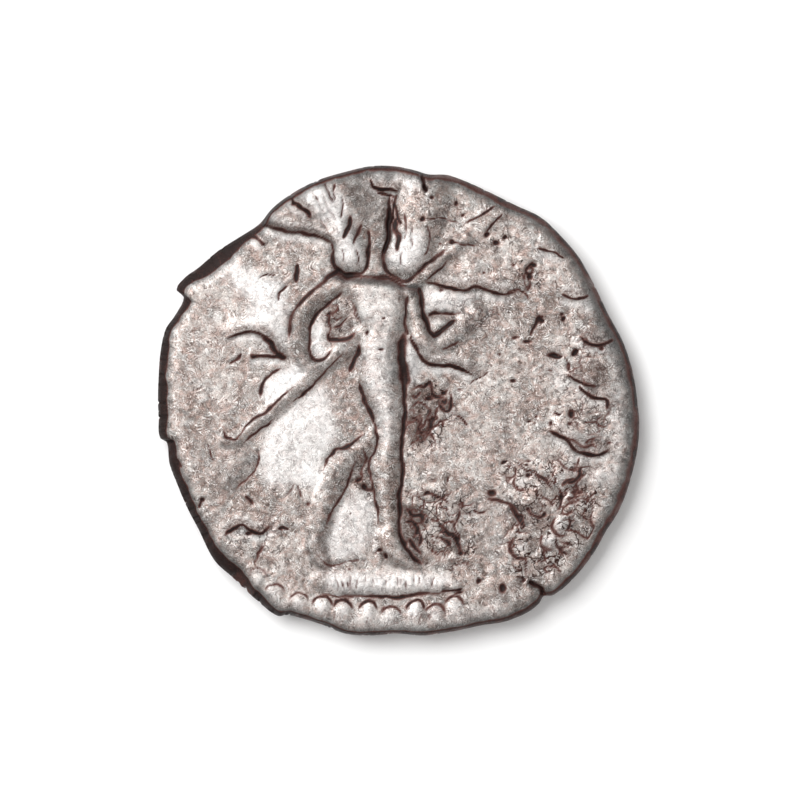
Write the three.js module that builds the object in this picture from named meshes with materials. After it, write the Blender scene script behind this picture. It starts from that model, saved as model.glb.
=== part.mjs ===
// A worn silver denarius, lying flat with its reverse side up.
// Millimetres, +Z up, Y towards the top of the design, underside resting at z = 0.
import * as THREE from 'three';

// ---- driving dimensions, mm -------------------------------------------------
const UNDER_RELIEF = 0.42;      // portrait side: field to the worn-flat high spots
const FLAN = 1.0;               // field to field
const UPPER_RELIEF = 0.28;      // figure side: field to the worn-flat high spots
const ROLL_WIDTH = 0.5;         // soft band where each face turns down to the edge
const UPPER_ROLL = 0.13;
const UNDER_ROLL = 0.1;
const EDGE_SLOPE = 0.3;         // how far below the rim the edge reaches full width
const UNDER_BEADS = 54;

// ---- fineness of the faceting -----------------------------------------------
const GRID = 176;               // cells along each side of the sampling square
const FACETS = 9000;

// The widest line of the edge: x, y.  Straight runs, teeth and nicks are where
// the flan was cut and has split.
const EDGE_LINE = [
  [9.2, 0], [9.05, 1], [8.7, 2.15], [8.05, 3.4], [7.45, 4.65], [6.97, 5.5], [6.3, 6.3],
  [5.5, 7.05], [4.5, 7.53], [3.5, 8.03], [2.5, 8.48], [1.9, 8.68], [1.2, 8.7],
  [0.75, 8.83], [0, 9], [-1, 9.02], [-2, 8.8], [-3, 8.5], [-4, 8], [-4.8, 7.4],
  [-5.3, 6.8], [-6, 6.33], [-6.97, 5.7], [-7.6, 5.15], [-8.2, 4.7], [-8.48, 4.25],
  [-8.2, 4], [-8.53, 3.3], [-8.9, 2.75], [-9.1, 1.85], [-9.17, 0.9], [-9.17, -0.6],
  [-9.12, -1.4], [-8.85, -1.6], [-8.75, -2.4], [-8.45, -3.2], [-8.02, -4.2],
  [-7.6, -5], [-7, -6.15], [-6.3, -6.8], [-5.4, -7.65], [-4.6, -8.25],
  [-4.15, -8.22], [-3, -8.55], [-2, -8.93], [-1, -9], [0, -8.93], [1, -9],
  [2, -8.87], [3.2, -8.62], [4.2, -8.45], [5.1, -8.05], [5.45, -7.75], [5.6, -7.5],
  [5.95, -7.46], [6.6, -6.97], [7.57, -5.77], [8, -5], [8.45, -4.3], [8.75, -3.6],
  [8.97, -2.9], [9.2, -1.9], [9.28, -0.9],
];

const DEGREE = Math.PI / 180;

const silver = new THREE.MeshStandardMaterial({
  name: 'worn_silver',
  color: 0xa69e98,
  metalness: 0.9,
  roughness: 0.45,
});

// ---- small numeric helpers --------------------------------------------------
function smooth(t) {
  const c = Math.min(Math.max(t, 0), 1);
  return c * c * (3 - 2 * c);
}

// Profile of a rounded form, from its foot at 0 to its crest at 1.
function arch(t) {
  return 1 - (1 - Math.min(Math.max(t, 0), 1)) ** 2;
}

function mix(a, b, t) {
  return a + (b - a) * t;
}

// Catmull-Rom value between b and c.
function catmull(a, b, c, d, t) {
  const linear = (c - a) * t;
  const square = (2 * a - 5 * b + 4 * c - d) * t * t;
  const cube = (3 * b - a - 3 * c + d) * t * t * t;
  return 0.5 * (2 * b + linear + square + cube);
}

// A smooth curve through rows of [x, y] or [x, y, half-width].
function curve(rows, steps = 5) {
  const points = [];
  for (let i = 0; i + 1 < rows.length; i += 1) {
    const before = rows[Math.max(i - 1, 0)];
    const after = rows[Math.min(i + 2, rows.length - 1)];
    for (let k = 0; k < steps; k += 1) {
      const at = (v, axis) => catmull(before[axis], v, rows[i + 1][axis], after[axis], k / steps);
      points.push(rows[i].map(at));
    }
  }
  points.push(rows[rows.length - 1]);
  return points;
}

function boundsOf(points, reach) {
  const xs = points.map((p) => p[0]);
  const ys = points.map((p) => p[1]);
  return {
    left: Math.min(...xs) - reach,
    right: Math.max(...xs) + reach,
    low: Math.min(...ys) - reach,
    high: Math.max(...ys) + reach,
  };
}

function outside(box, x, y) {
  return x < box.left || x > box.right || y < box.low || y > box.high;
}

// Nearest place on a curve: distance, side (+1 on the left of travel),
// share of the way along, and the half-width there.
function nearest(points, x, y) {
  const best = { distance: Infinity, side: 1, along: 0, width: 0 };
  for (let i = 0; i + 1 < points.length; i += 1) {
    const [ax, ay, aw = 0] = points[i];
    const [bx, by, bw = 0] = points[i + 1];
    const dx = bx - ax;
    const dy = by - ay;
    const share = ((x - ax) * dx + (y - ay) * dy) / (dx * dx + dy * dy);
    const t = Math.min(Math.max(share, 0), 1);
    const distance = Math.hypot(x - ax - t * dx, y - ay - t * dy);
    if (distance < best.distance) {
      best.distance = distance;
      best.side = dx * (y - ay) - dy * (x - ax) >= 0 ? 1 : -1;
      best.along = (i + t) / (points.length - 1);
      best.width = mix(aw, bw, t);
    }
  }
  return best;
}

// ---- relief shapes ----------------------------------------------------------
// Each returns a function (x, y, height) that gives the new height of the face.

// A ridge along a curve; left and right say how much of each half is slope.
function limb(rows, height, left = 0.6, right = 0.6) {
  const points = curve(rows);
  const box = boundsOf(points, Math.max(...rows.map((row) => row[2])));
  return (x, y, ground) => {
    if (outside(box, x, y)) {
      return ground;
    }
    const spot = nearest(points, x, y);
    const inside = 1 - spot.distance / spot.width;
    return Math.max(ground, height * arch(inside / (spot.side > 0 ? left : right)));
  };
}

// A form between two edges, from rows of [y, left x, right x] with y rising;
// left and right are the widths of the slopes.
function strip(rows, height, left, right) {
  const edges = curve(rows);
  const low = edges[0][0];
  const high = edges[edges.length - 1][0];
  return (x, y, ground) => {
    if (y <= low || y >= high) {
      return ground;
    }
    const i = edges.findIndex((row) => row[0] > y);
    const t = (y - edges[i - 1][0]) / (edges[i][0] - edges[i - 1][0]);
    const fromLeft = x - mix(edges[i - 1][1], edges[i][1], t);
    const fromRight = mix(edges[i - 1][2], edges[i][2], t) - x;
    const ends = smooth((y - low) / 0.3) * smooth((high - y) / 0.3);
    return Math.max(ground, height * ends * arch(fromLeft / left) * arch(fromRight / right));
  };
}

// A flat raised patch inside a closed loop, with a sloping margin.
function patch(rows, height, margin, fall = () => 1) {
  const points = curve([...rows, rows[0]]);
  const box = boundsOf(points, 0);
  return (x, y, ground) => {
    if (outside(box, x, y) || !encloses(points, x, y)) {
      return ground;
    }
    const depth = nearest(points, x, y).distance;
    return Math.max(ground, height * arch(depth / margin) * fall(x, y));
  };
}

function encloses(points, x, y) {
  let inside = false;
  for (let i = 0; i + 1 < points.length; i += 1) {
    const [ax, ay] = points[i];
    const [bx, by] = points[i + 1];
    if ((ay > y) !== (by > y) && x < (bx - ax) * (y - ay) / (by - ay) + ax) {
      inside = !inside;
    }
  }
  return inside;
}

// A step along a curve: high on the left of travel, sinking back over its reach.
function ledge(rows, height, reach, drop = 0.16) {
  const points = curve(rows);
  const box = boundsOf(points, 2.2 * reach);
  return (x, y, ground) => {
    if (outside(box, x, y)) {
      return ground;
    }
    const spot = nearest(points, x, y);
    const ends = smooth(spot.along / 0.2) * smooth((1 - spot.along) / 0.2);
    const back = Math.exp(-((spot.distance / reach) ** 2));
    const front = smooth(1 - spot.distance / drop);
    return ground + height * ends * (spot.side > 0 ? back : front);
  };
}

function groove(rows, depth, width, ending = 0.1) {
  const points = curve(rows);
  const box = boundsOf(points, 2.5 * width);
  return (x, y, ground) => {
    if (outside(box, x, y)) {
      return ground;
    }
    const spot = nearest(points, x, y);
    const ends = smooth(spot.along / ending) * smooth((1 - spot.along) / ending);
    return ground - depth * ends * Math.exp(-((spot.distance / width) ** 2));
  };
}

// A soft swelling, or a pit when the height is negative.
function swell(cx, cy, rx, ry, height) {
  return (x, y, ground) => {
    const square = ((x - cx) / rx) ** 2 + ((y - cy) / ry) ** 2;
    return square > 6 ? ground : ground + height * Math.exp(-square);
  };
}

// A round bead standing on the ground.
function bead(cx, cy, radius, height) {
  return (x, y, ground) => {
    const share = 1 - Math.hypot(x - cx, y - cy) / radius;
    return share < 0 ? ground : Math.max(ground, height * smooth(share / 0.75));
  };
}

// ---- the upper face: a striding nude figure with a spear --------------------
function torsoAndStandingLeg() {
  return strip([
    [-6.5, 0.2, 1.1], [-6.2, -0.3, 0.85], [-5.8, -0.8, 0.48], [-5.3, -0.9, 0.2], [-4.8, -0.76, 0],
    [-4.2, -0.76, 0.02], [-3.6, -0.9, 0.06], [-3, -1.02, 0.12], [-2.5, -1.12, 0.12], [-2, -0.98, 0.06],
    [-1.5, -0.78, 0.06], [-0.95, -0.9, 0.16], [-0.4, -1.08, 0.18], [0.2, -1.3, 0.14], [0.8, -1.5, 0.08],
    [1.5, -1.55, 0.02], [2.3, -1.55, 0.12], [2.9, -1.55, 0.2], [3.5, -1.7, 0.36], [4, -1.85, 0.36],
    [4.4, -2, 0.42], [4.75, -1.7, 0.5],
  ], 0.31, 0.8, 0.65);
}

function stridingLeg() {
  return limb([
    [-0.9, -1.35, 0.3], [-1.5, -1.95, 0.44], [-2.1, -2.45, 0.52], [-2.4, -3, 0.55], [-2.75, -3.9, 0.48],
    [-2.98, -4.8, 0.4], [-3.12, -5.6, 0.38], [-2.85, -6.2, 0.3],
  ], 0.19, 0.9, 0.9);
}

function bentArm() {
  return limb([
    [-0.9, 4.3, 0.5], [-1.8, 4.5, 0.48], [-2.6, 4.35, 0.45], [-3.25, 3.85, 0.4], [-3.68, 3.2, 0.4],
    [-3.77, 2.5, 0.38], [-3.7, 1.9, 0.38], [-3.45, 1.4, 0.4], [-3, 1.3, 0.34],
  ], 0.18, 0.8, 0.8);
}

function foldedArm() {
  return limb([
    [0.4, 4.45, 0.3], [0.62, 3.6, 0.3], [0.78, 2.95, 0.34], [1, 2.35, 0.4], [1.5, 2.18, 0.38],
    [2, 2.38, 0.4], [2.6, 2.85, 0.4], [3.1, 3.4, 0.3],
  ], 0.18, 0.8, 0.8);
}

function spear() {
  return [
    limb([[-6.7, -1.5, 0.2], [-6.2, -1.5, 0.22], [-5.5, -0.95, 0.25], [-4.5, -0.12, 0.27],
      [-3.4, 0.85, 0.3], [-2.5, 1.65, 0.33], [-1.4, 2.5, 0.34], [-0.6, 3.1, 0.3]], 0.13, 0.5, 0.6),
    limb([[0.5, 4.4, 0.27], [1.2, 5, 0.28], [1.95, 5.68, 0.27], [2.7, 6.3, 0.2]], 0.16, 0.5, 0.5),
    limb([[2.6, 6.35, 0.2], [3.2, 6.8, 0.42], [3.95, 7.4, 0.36]], 0.07, 0.3, 0.3),
  ];
}

// Two lobes of high relief run off the top of the flan above the shoulders.
function lobes() {
  const sinking = (x) => 0.25 + 0.75 * smooth((-0.9 - x) / 1.2);
  return [
    patch([[-5.5, 7], [-4.9, 6.76], [-4.2, 6.5], [-3.4, 6.43], [-2.75, 6.25], [-2.45, 5.9],
      [-2.1, 5.75], [-1.4, 5.9], [-0.9, 5.6], [-0.62, 5.2], [-0.52, 6], [-0.42, 7], [-0.3, 7.9],
      [-0.5, 9], [-2.5, 9.6], [-5, 9.2]], 0.2, 0.22, sinking),
    limb([[-3.2, 8.2, 0.8], [-2.5, 7.2, 0.75], [-2, 6.3, 0.68], [-1.78, 5.6, 0.72]], 0.29, 1, 1),
    limb([[1.1, 9, 1.1], [0.95, 7.6, 1.05], [0.62, 6.5, 0.98], [0.42, 5.62, 0.98]], 0.29, 0.7, 1),
  ];
}

function groundLine() {
  return limb([
    [-3, -6.85, 0.34], [-2, -6.9, 0.45], [-0.5, -6.95, 0.46], [1, -6.97, 0.4], [2.2, -7.05, 0.3],
  ], 0.11, 0.8, 0.8);
}

// Beads run out into the rim: place of each crown and how much of it was struck.
function upperBeads() {
  const crowns = [
    [-5.35, -6.75, 0.4], [-4.7, -7.35, 0.6], [-3.78, -7.72, 0.7], [-2.87, -7.85, 0.95], [-2.08, -7.95, 1],
    [-1.13, -8.02, 1], [-0.25, -8.2, 0.75], [0.67, -8.02, 1], [1.45, -8.15, 0.8], [2.15, -7.87, 0.9],
  ];
  return crowns.map(([x, y, struck]) => limb([
    [x, y, 0.38], [1.05 * x, 1.05 * y, 0.42], [1.1 * x, 1.1 * y, 0.36],
  ], 0.12 * struck, 0.9, 0.9));
}

// Folds of the cloak that hangs behind the figure on both sides.
function cloak() {
  return [
    ledge([[0.38, 2.6], [0.65, 2.15], [0.85, 1.8], [1.1, 1.52], [1.5, 1.41], [1.95, 1.43],
      [2.35, 1.33], [2.65, 1.15], [3.05, 0.8]], 0.13, 0.55),
    ledge([[-6.7, 2.4], [-6.1, 2.65], [-5.7, 2.7], [-5.3, 2.62], [-5, 2.48], [-4.78, 2.25],
      [-4.6, 1.95], [-4.2, 1.6]], 0.13, 0.6),
    ledge([[-5.7, 1.8], [-5, 1.73], [-4.2, 1.69]], 0.06, 0.25),
    ledge([[0.95, 4.62], [1.5, 4.55], [2.1, 4.38], [2.5, 4.32], [3, 4.45], [3.4, 4.33], [4, 4.15],
      [4.8, 4.25]], 0.1, 0.8),
  ];
}

function steps() {
  return [
    ledge([[-1.05, 8.6], [-0.95, 8.35], [-0.75, 8.2], [-0.3, 8.18], [0.15, 8.1]], 0.13, 0.5),
    ledge([[-4.15, 7.85], [-3.85, 7.55], [-3.45, 7.35], [-3.3, 7]], 0.1, 0.5),
    ledge([[-6.7, -5.2], [-6.2, -4.85], [-5.9, -4.75], [-5.6, -4.95], [-5.2, -5.05], [-4.9, -4.7]],
      0.06, 0.35),
    ledge([[2.2, 3.28], [1.7, 3.3], [1.15, 3.25]], -0.07, 0.3),
  ];
}

// What wear has left of the border writing: shallow strokes that spell nothing.
function upperStrokes() {
  return [
    ledge([[5.6, -1.05], [6.1, -1.2], [6.5, -1.5], [6.75, -1.75], [7.05, -1.95], [7.45, -2.03],
      [7.8, -2], [8.15, -1.75]], 0.15, 0.55),
    ledge([[6.9, 2.55], [7.2, 2.33], [7.6, 2.2], [8, 2.26], [8.3, 2.4]], 0.09, 0.4),
    ledge([[6.5, 1.05], [6.85, 0.78], [7.15, 0.68], [7.7, 0.6]], 0.09, 0.4),
    ledge([[6.9, 0.6], [7.2, 0.35], [7.55, 0.2], [8.05, 0.1], [8.1, -0.4]], 0.09, 0.3),
    ledge([[6.97, -2.1], [7, -2.4], [6.95, -2.95], [6.6, -3.05], [6.3, -3.35]], 0.07, 0.35),
  ];
}

function lumps() {
  return [
    swell(4.75, -5.6, 0.42, 0.36, 0.09),
    swell(5.85, -5.35, 0.3, 0.26, 0.09),
    swell(6.3, -4.8, 0.36, 0.3, 0.1),
    swell(5.5, -4.7, 0.4, 0.34, 0.04),
    swell(6.8, -4.25, 0.45, 0.38, 0.06),
    swell(5.25, -3.6, 0.4, 0.34, 0.05),
    swell(4, -7.15, 0.5, 0.4, 0.07),
    swell(7.9, -2.85, 0.4, 0.34, 0.05),
  ];
}

function crevices() {
  return [
    groove([[-0.22, 8.1], [-0.27, 7.6], [-0.28, 7.1], [-0.36, 6.5], [-0.42, 6], [-0.52, 5.5],
      [-0.5, 5.1], [-0.2, 4.8], [0.2, 4.62], [0.5, 4.68], [0.9, 5], [1.25, 5.35], [1.6, 5.62],
      [2.1, 5.95]], 0.12, 0.15),
    groove([[-4.2, 2.2], [-4.13, 2.8], [-4.05, 3.3], [-3.75, 3.72], [-3.4, 4.05], [-3.05, 4.4],
      [-2.6, 4.8], [-2.3, 4.95], [-1.9, 4.8], [-1.4, 4.8], [-0.9, 4.75], [-0.3, 4.7], [0.1, 4.5],
      [0.5, 4.5]], 0.1, 0.14),
    groove([[0.3, 3.6], [0.15, 2.3], [0.14, 1.5], [0.2, 0.8], [0.26, 0], [0.25, -0.7], [0.15, -1.5],
      [0.12, -2.1], [0.2, -2.7], [0.12, -3.4], [0.05, -4.2], [0.02, -4.8], [0.15, -5.3],
      [0.4, -5.75], [0.7, -6.1], [1.15, -6.35]], 0.11, 0.13),
    groove([[0.75, 4.5], [0.92, 4.1], [0.97, 3.6], [1.08, 3.15], [1.25, 2.72], [1.42, 2.55],
      [1.7, 2.72], [2, 2.95], [2.3, 3.15]], 0.09, 0.12),
    groove([[-2, 4.22], [-2.4, 3.9], [-2.9, 3.55], [-3.2, 3.2], [-3.36, 2.85], [-3.38, 2.4],
      [-3.38, 2], [-3.25, 1.68], [-3, 1.56], [-2.75, 1.7], [-2.5, 2.1]], 0.07, 0.11),
    groove([[-2.5, 6.2], [-2.48, 5.7], [-2.46, 5.3], [-2.25, 4.98], [-1.85, 4.86], [-1.45, 4.92],
      [-1.2, 5.15], [-1.1, 5.6], [-1.12, 6.4]], 0.07, 0.12),
  ];
}

// The field swells beside the figure, and the chest and belly on it.
function softForms() {
  return [
    swell(-0.75, 3.7, 0.7, 0.6, 0.03),
    swell(-0.7, 1.6, 0.45, 0.8, 0.02),
    swell(-4.1, -1.8, 1.2, 1.6, 0.06),
    swell(-4.7, 3.8, 1.1, 1, 0.06),
    swell(-4.5, 0.6, 0.6, 0.6, 0.05),
    swell(-1.8, -4.7, 0.8, 1.2, 0.05),
    swell(5.3, -4, 1.3, 0.9, 0.08),
    swell(3.9, -4.5, 0.7, 0.6, -0.05),
    swell(7.3, 1.3, 0.8, 0.9, 0.05),
    swell(1.7, 3.9, 0.8, 0.45, 0.07),
    swell(0.7, -0.6, 0.5, 1, 0.05),
  ];
}

// Splits running in from the edge, and corrosion pits.
function splitsAndPits() {
  return [
    groove([[0.9, 9.4], [0.95, 8.6], [1.12, 7.95]], 0.3, 0.12, 0.35),
    groove([[6.2, -8.1], [5.62, -7.4], [5.5, -7.18], [5, -6.97]], 0.27, 0.12, 0.35),
    swell(3.65, -3.55, 0.15, 0.14, -0.12),
    swell(4, -7.15, 0.14, 0.18, -0.12),
    swell(6.8, 1.83, 0.16, 0.13, -0.1),
    swell(6, 1.78, 0.22, 0.12, -0.1),
    swell(5.42, 3.12, 0.13, 0.14, -0.1),
    swell(5.2, 5.2, 0.14, 0.13, -0.1),
    swell(6.63, -0.5, 0.13, 0.17, -0.1),
  ];
}

function upperShapes() {
  return {
    raised: [
      stridingLeg(), ...spear(), bentArm(), foldedArm(), torsoAndStandingLeg(), ...lobes(),
      groundLine(), ...upperBeads(), ...softForms(), ...cloak(), ...steps(), ...upperStrokes(),
      ...lumps(), ...crevices(),
    ],
    cut: splitsAndPits(),
  };
}

// ---- the underside: a worn laureate head facing right -----------------------
// Heads are drawn as seen from below, x to the right of that view.
function headOutline() {
  return patch([
    [1.35, -6.1], [1.3, -4.6], [1.75, -3.95], [2.6, -3.95], [3.1, -3.6], [3.08, -3.1],
    [2.88, -2.75], [3.15, -2.5], [3.02, -2.25], [3.25, -2], [3.12, -1.65], [3.3, -1.4],
    [4, -1.2], [3.9, -0.85], [3.5, 0], [3.22, 0.75], [3.32, 1.25], [3.15, 2],
    [2.9, 2.9], [2.4, 3.8], [1.6, 4.6], [0.3, 5.15], [-1.3, 5.1], [-2.8, 4.4],
    [-3.85, 3.1], [-4.3, 1.5], [-4.15, 0], [-3.6, -1.2], [-3.05, -2.1], [-2.9, -3.2],
    [-3.2, -4.6], [-3.9, -5.8], [-2.5, -6.6], [-0.6, -6.85], [0.9, -6.5],
  ], 0.33, 0.75);
}

function faceShapes() {
  return [
    limb([[1.6, 1.25, 0.3], [2.4, 1.45, 0.32], [3.15, 1.25, 0.26]], 0.38, 0.8, 0.8),
    limb([[3.2, 0.9, 0.26], [3.45, 0, 0.3], [3.7, -0.95, 0.36]], 0.4, 0.9, 0.9),
    limb([[2, 0.55, 0.2], [2.45, 0.68, 0.26], [2.85, 0.55, 0.18]], 0.38, 0.8, 0.8),
    limb([[2.5, -2.02, 0.2], [3.12, -1.98, 0.22]], 0.37, 0.9, 0.9),
    limb([[2.5, -2.45, 0.2], [3.05, -2.48, 0.24]], 0.37, 0.9, 0.9),
    limb([[2.3, -3.3, 0.5], [2.75, -3.4, 0.42]], 0.38, 0.95, 0.95),
    limb([[-0.4, -1.9, 0.5], [0.6, -3, 0.6], [1.9, -3.4, 0.5]], 0.37, 0.95, 0.95),
    swell(1.5, -1.1, 1, 0.9, 0.18),
    limb([[-0.5, 0.6, 0.26], [0, 0.5, 0.26], [0.1, -0.1, 0.24], [-0.3, -0.9, 0.22]],
      0.42, 0.9, 0.9),
    groove([[-0.5, 0.1], [-0.35, -0.5]], 0.12, 0.16),
    groove([[2.2, -2.24], [3.1, -2.22]], 0.1, 0.1),
    groove([[0.9, -4.3], [0.2, -5.1], [0.1, -6]], 0.06, 0.3),
  ];
}

// Hair in rows of short locks, from the brow round to the nape.
function hair() {
  const locks = [];
  for (let row = 0; row < 4; row += 1) {
    const count = 6 + 2 * row;
    const reach = 1.7 + 0.78 * row;
    for (let i = 0; i < count; i += 1) {
      const angle = mix(56, 226, (i + 0.5 * (row % 2)) / (count - 0.5)) * DEGREE;
      const x = -0.45 + reach * Math.cos(angle);
      const y = 0.95 + reach * Math.sin(angle);
      const heading = angle + (row % 2 ? 1.1 : 2.1);
      const dx = 0.3 * Math.cos(heading);
      const dy = 0.3 * Math.sin(heading);
      locks.push(limb([[x - dx, y - dy, 0.2], [x, y, 0.32], [x + dx, y + dy, 0.2]], 0.4, 1, 1));
    }
  }
  return locks;
}

// Wreath: pairs of leaves laid over the hair.
function wreath() {
  const leaves = [];
  for (let i = 0; i < 7; i += 1) {
    const angle = mix(190, 48, i / 6) * DEGREE;
    const x = -0.35 + 3 * Math.cos(angle);
    const y = 0.95 + 3.05 * Math.sin(angle);
    for (const aim of [angle - 1.75, angle - 0.85]) {
      const dx = Math.cos(aim);
      const dy = Math.sin(aim);
      leaves.push(limb([[x, y, 0.16], [x + 0.55 * dx, y + 0.55 * dy, 0.36],
        [x + 1.15 * dx, y + 1.15 * dy, 0.12]], 0.46, 0.9, 0.9));
    }
  }
  return leaves;
}

function ribbons() {
  return [
    limb([[-3.5, -0.1, 0.28], [-4.2, -0.9, 0.24], [-4.5, -1.9, 0.24], [-5, -2.8, 0.2]],
      0.26, 0.8, 0.8),
    limb([[-3.5, -0.3, 0.26], [-3.75, -1.6, 0.22], [-4.2, -3, 0.22], [-4.1, -3.9, 0.18]],
      0.26, 0.8, 0.8),
  ];
}

// The field is dished: it rises towards the bead border.
function dish(x, y, ground) {
  return Math.max(ground, 0.26 * smooth((Math.hypot(x, y) - 6.9) / 0.9));
}

function underBeads() {
  const beads = [];
  for (let i = 0; i < UNDER_BEADS; i += 1) {
    const angle = 360 * DEGREE * i / UNDER_BEADS;
    beads.push(bead(8.05 * Math.cos(angle), 7.95 * Math.sin(angle), 0.42, 0.52));
  }
  return beads;
}

// Border writing worn down to short bars that spell nothing.
function underStrokes() {
  const strokes = [];
  for (let i = 0; i < 15; i += 1) {
    const angle = mix(152, -38, i / 14) * DEGREE;
    const lean = (i % 3 - 1) * 0.09;
    const inner = [6 * Math.cos(angle), 6 * Math.sin(angle), 0.2];
    const outer = [6.95 * Math.cos(angle + lean), 6.95 * Math.sin(angle + lean), 0.2];
    strokes.push(limb([inner, outer], 0.2, 0.95, 0.95));
  }
  return strokes;
}

function underShapes() {
  return {
    raised: [
      headOutline(), dish, ...hair(), ...wreath(), ...ribbons(), ...underBeads(),
      ...underStrokes(), ...faceShapes(),
    ],
    cut: [],
  };
}

// ---- the edge ---------------------------------------------------------------
function polarEdge() {
  const rows = EDGE_LINE.map(([x, y]) => [(Math.atan2(y, x) / DEGREE + 360) % 360,
    Math.hypot(x, y)]);
  rows.sort((a, b) => a[0] - b[0]);
  const before = rows.slice(-2).map(([angle, radius]) => [angle - 360, radius]);
  const after = rows.slice(0, 2).map(([angle, radius]) => [angle + 360, radius]);
  return [...before, ...rows, ...after];
}

const EDGE_ROWS = polarEdge();

// Radius of the widest line at an angle in degrees.
function widest(angle) {
  const wanted = (angle + 720) % 360;
  const i = EDGE_ROWS.findIndex((row) => row[0] > wanted) - 1;
  const [a, b, c, d] = EDGE_ROWS.slice(i - 1, i + 3);
  const span = c[0] - b[0];
  const t = (wanted - b[0]) / span;
  const leaving = (c[1] - a[1]) / (c[0] - a[0]) * span;
  const arriving = (d[1] - b[1]) / (d[0] - b[0]) * span;
  const square = t * t;
  const cube = square * t;
  return (2 * cube - 3 * square + 1) * b[1] + (cube - 2 * square + t) * leaving
    + (3 * square - 2 * cube) * c[1] + (cube - square) * arriving;
}

function near(angle, centre, spread) {
  const away = ((angle - centre + 900) % 360) - 180;
  return Math.exp(-((away / spread) ** 2));
}

// The edge leans: how far each rim stands inside the widest line.
function upperInset(angle) {
  return 0.12 + 0.16 * near(angle, 190, 38) + 0.2 * near(angle, 226, 12)
    + 0.3 * near(angle, 142, 9) + 0.1 * near(angle, 0, 42) + 0.05 * near(angle, 60, 25);
}

function underInset(angle) {
  return 0.16 + 0.12 * near(angle, 20, 50) + 0.1 * near(angle, 300, 30);
}

// ---- meshing ----------------------------------------------------------------
// A square grid is bent onto the disc; its four sides become the rim.
function place(u, v, rimRadius) {
  const x = u * Math.sqrt(1 - v * v / 2);
  const y = v * Math.sqrt(1 - u * u / 2);
  const share = Math.hypot(x, y);
  const scale = mix(9, rimRadius(Math.atan2(y, x) / DEGREE), share ** 4);
  return [x * scale, y * scale];
}

function rolledOff(x, y, rimRadius, depth) {
  const inward = rimRadius(Math.atan2(y, x) / DEGREE) - Math.hypot(x, y);
  return depth * Math.max(0, 1 - inward / ROLL_WIDTH) ** 2;
}

function drawnHeight(x, y, { raised, cut }, limit) {
  const risen = raised.reduce((ground, shape) => shape(x, y, ground), 0);
  return cut.reduce((ground, shape) => shape(x, y, ground), Math.min(risen, limit));
}

// Grid nodes along the four sides, counter-clockwise seen from above.
function rimNodes() {
  const nodes = [];
  for (let k = 0; k < GRID; k += 1) {
    nodes.push([k, 0]);
  }
  for (let k = 0; k < GRID; k += 1) {
    nodes.push([GRID, k]);
  }
  for (let k = GRID; k > 0; k -= 1) {
    nodes.push([k, GRID]);
  }
  for (let k = GRID; k > 0; k -= 1) {
    nodes.push([0, k]);
  }
  return nodes.map(([i, j]) => j * (GRID + 1) + i);
}

// Collects the points and triangles of the one closed body.
class Body {
  constructor() {
    this.points = [];
    this.facets = [];
  }

  add(x, y, z) {
    this.points.push([x, y, z]);
    return this.points.length - 1;
  }

  // One face; outward is +1 for the upper side and -1 for the underside.
  addFace({ rimRadius, shapes, base, outward, limit, roll }) {
    const first = this.points.length;
    const side = GRID + 1;
    for (let j = 0; j < side; j += 1) {
      for (let i = 0; i < side; i += 1) {
        const [x, y] = place(2 * i / GRID - 1, 2 * j / GRID - 1, rimRadius);
        const height = drawnHeight(outward * x, y, shapes, limit);
        this.add(x, y, base + outward * (height - rolledOff(x, y, rimRadius, roll)));
      }
    }
    for (let j = 0; j < GRID; j += 1) {
      for (let i = 0; i < GRID; i += 1) {
        const a = first + j * side + i;
        this.addSquare(a, a + 1, a + side + 1, a + side, outward);
      }
    }
    return rimNodes().map((node) => first + node);
  }

  addSquare(a, b, c, d, outward) {
    const corners = outward > 0 ? [[a, b, c], [a, c, d]] : [[a, c, b], [a, d, c]];
    this.facets.push(...corners);
  }

  addRing(radiusAt, z, angles) {
    return angles.map((angle) => this.add(
      radiusAt(angle) * Math.cos(angle * DEGREE),
      radiusAt(angle) * Math.sin(angle * DEGREE),
      z,
    ));
  }

  // Band between two rings of the edge, facing out.
  addBand(low, high) {
    low.forEach((a, k) => {
      const next = (k + 1) % low.length;
      this.addSquare(a, low[next], high[next], high[k], 1);
    });
  }
}

// ---- thinning the mesh by edge collapse, least change first -------------------
const minus = (p, q) => [p[0] - q[0], p[1] - q[1], p[2] - q[2]];
const dot = (p, q) => p[0] * q[0] + p[1] * q[1] + p[2] * q[2];
const cross = (p, q) => [
  p[1] * q[2] - p[2] * q[1],
  p[2] * q[0] - p[0] * q[2],
  p[0] * q[1] - p[1] * q[0],
];

// A heap of edges ordered by cost.
class Queue {
  constructor() {
    this.items = [];
  }

  push(item) {
    const { items } = this;
    let i = items.length;
    items.push(item);
    while (i > 0 && items[(i - 1) >> 1].cost > item.cost) {
      items[i] = items[(i - 1) >> 1];
      i = (i - 1) >> 1;
    }
    items[i] = item;
  }

  pop() {
    const { items } = this;
    const top = items[0];
    const last = items.pop();
    if (items.length === 0) {
      return top;
    }
    let i = 0;
    for (;;) {
      let child = 2 * i + 1;
      if (child + 1 < items.length && items[child + 1].cost < items[child].cost) {
        child += 1;
      }
      if (child >= items.length || items[child].cost >= last.cost) {
        break;
      }
      items[i] = items[child];
      i = child;
    }
    items[i] = last;
    return top;
  }
}

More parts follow.
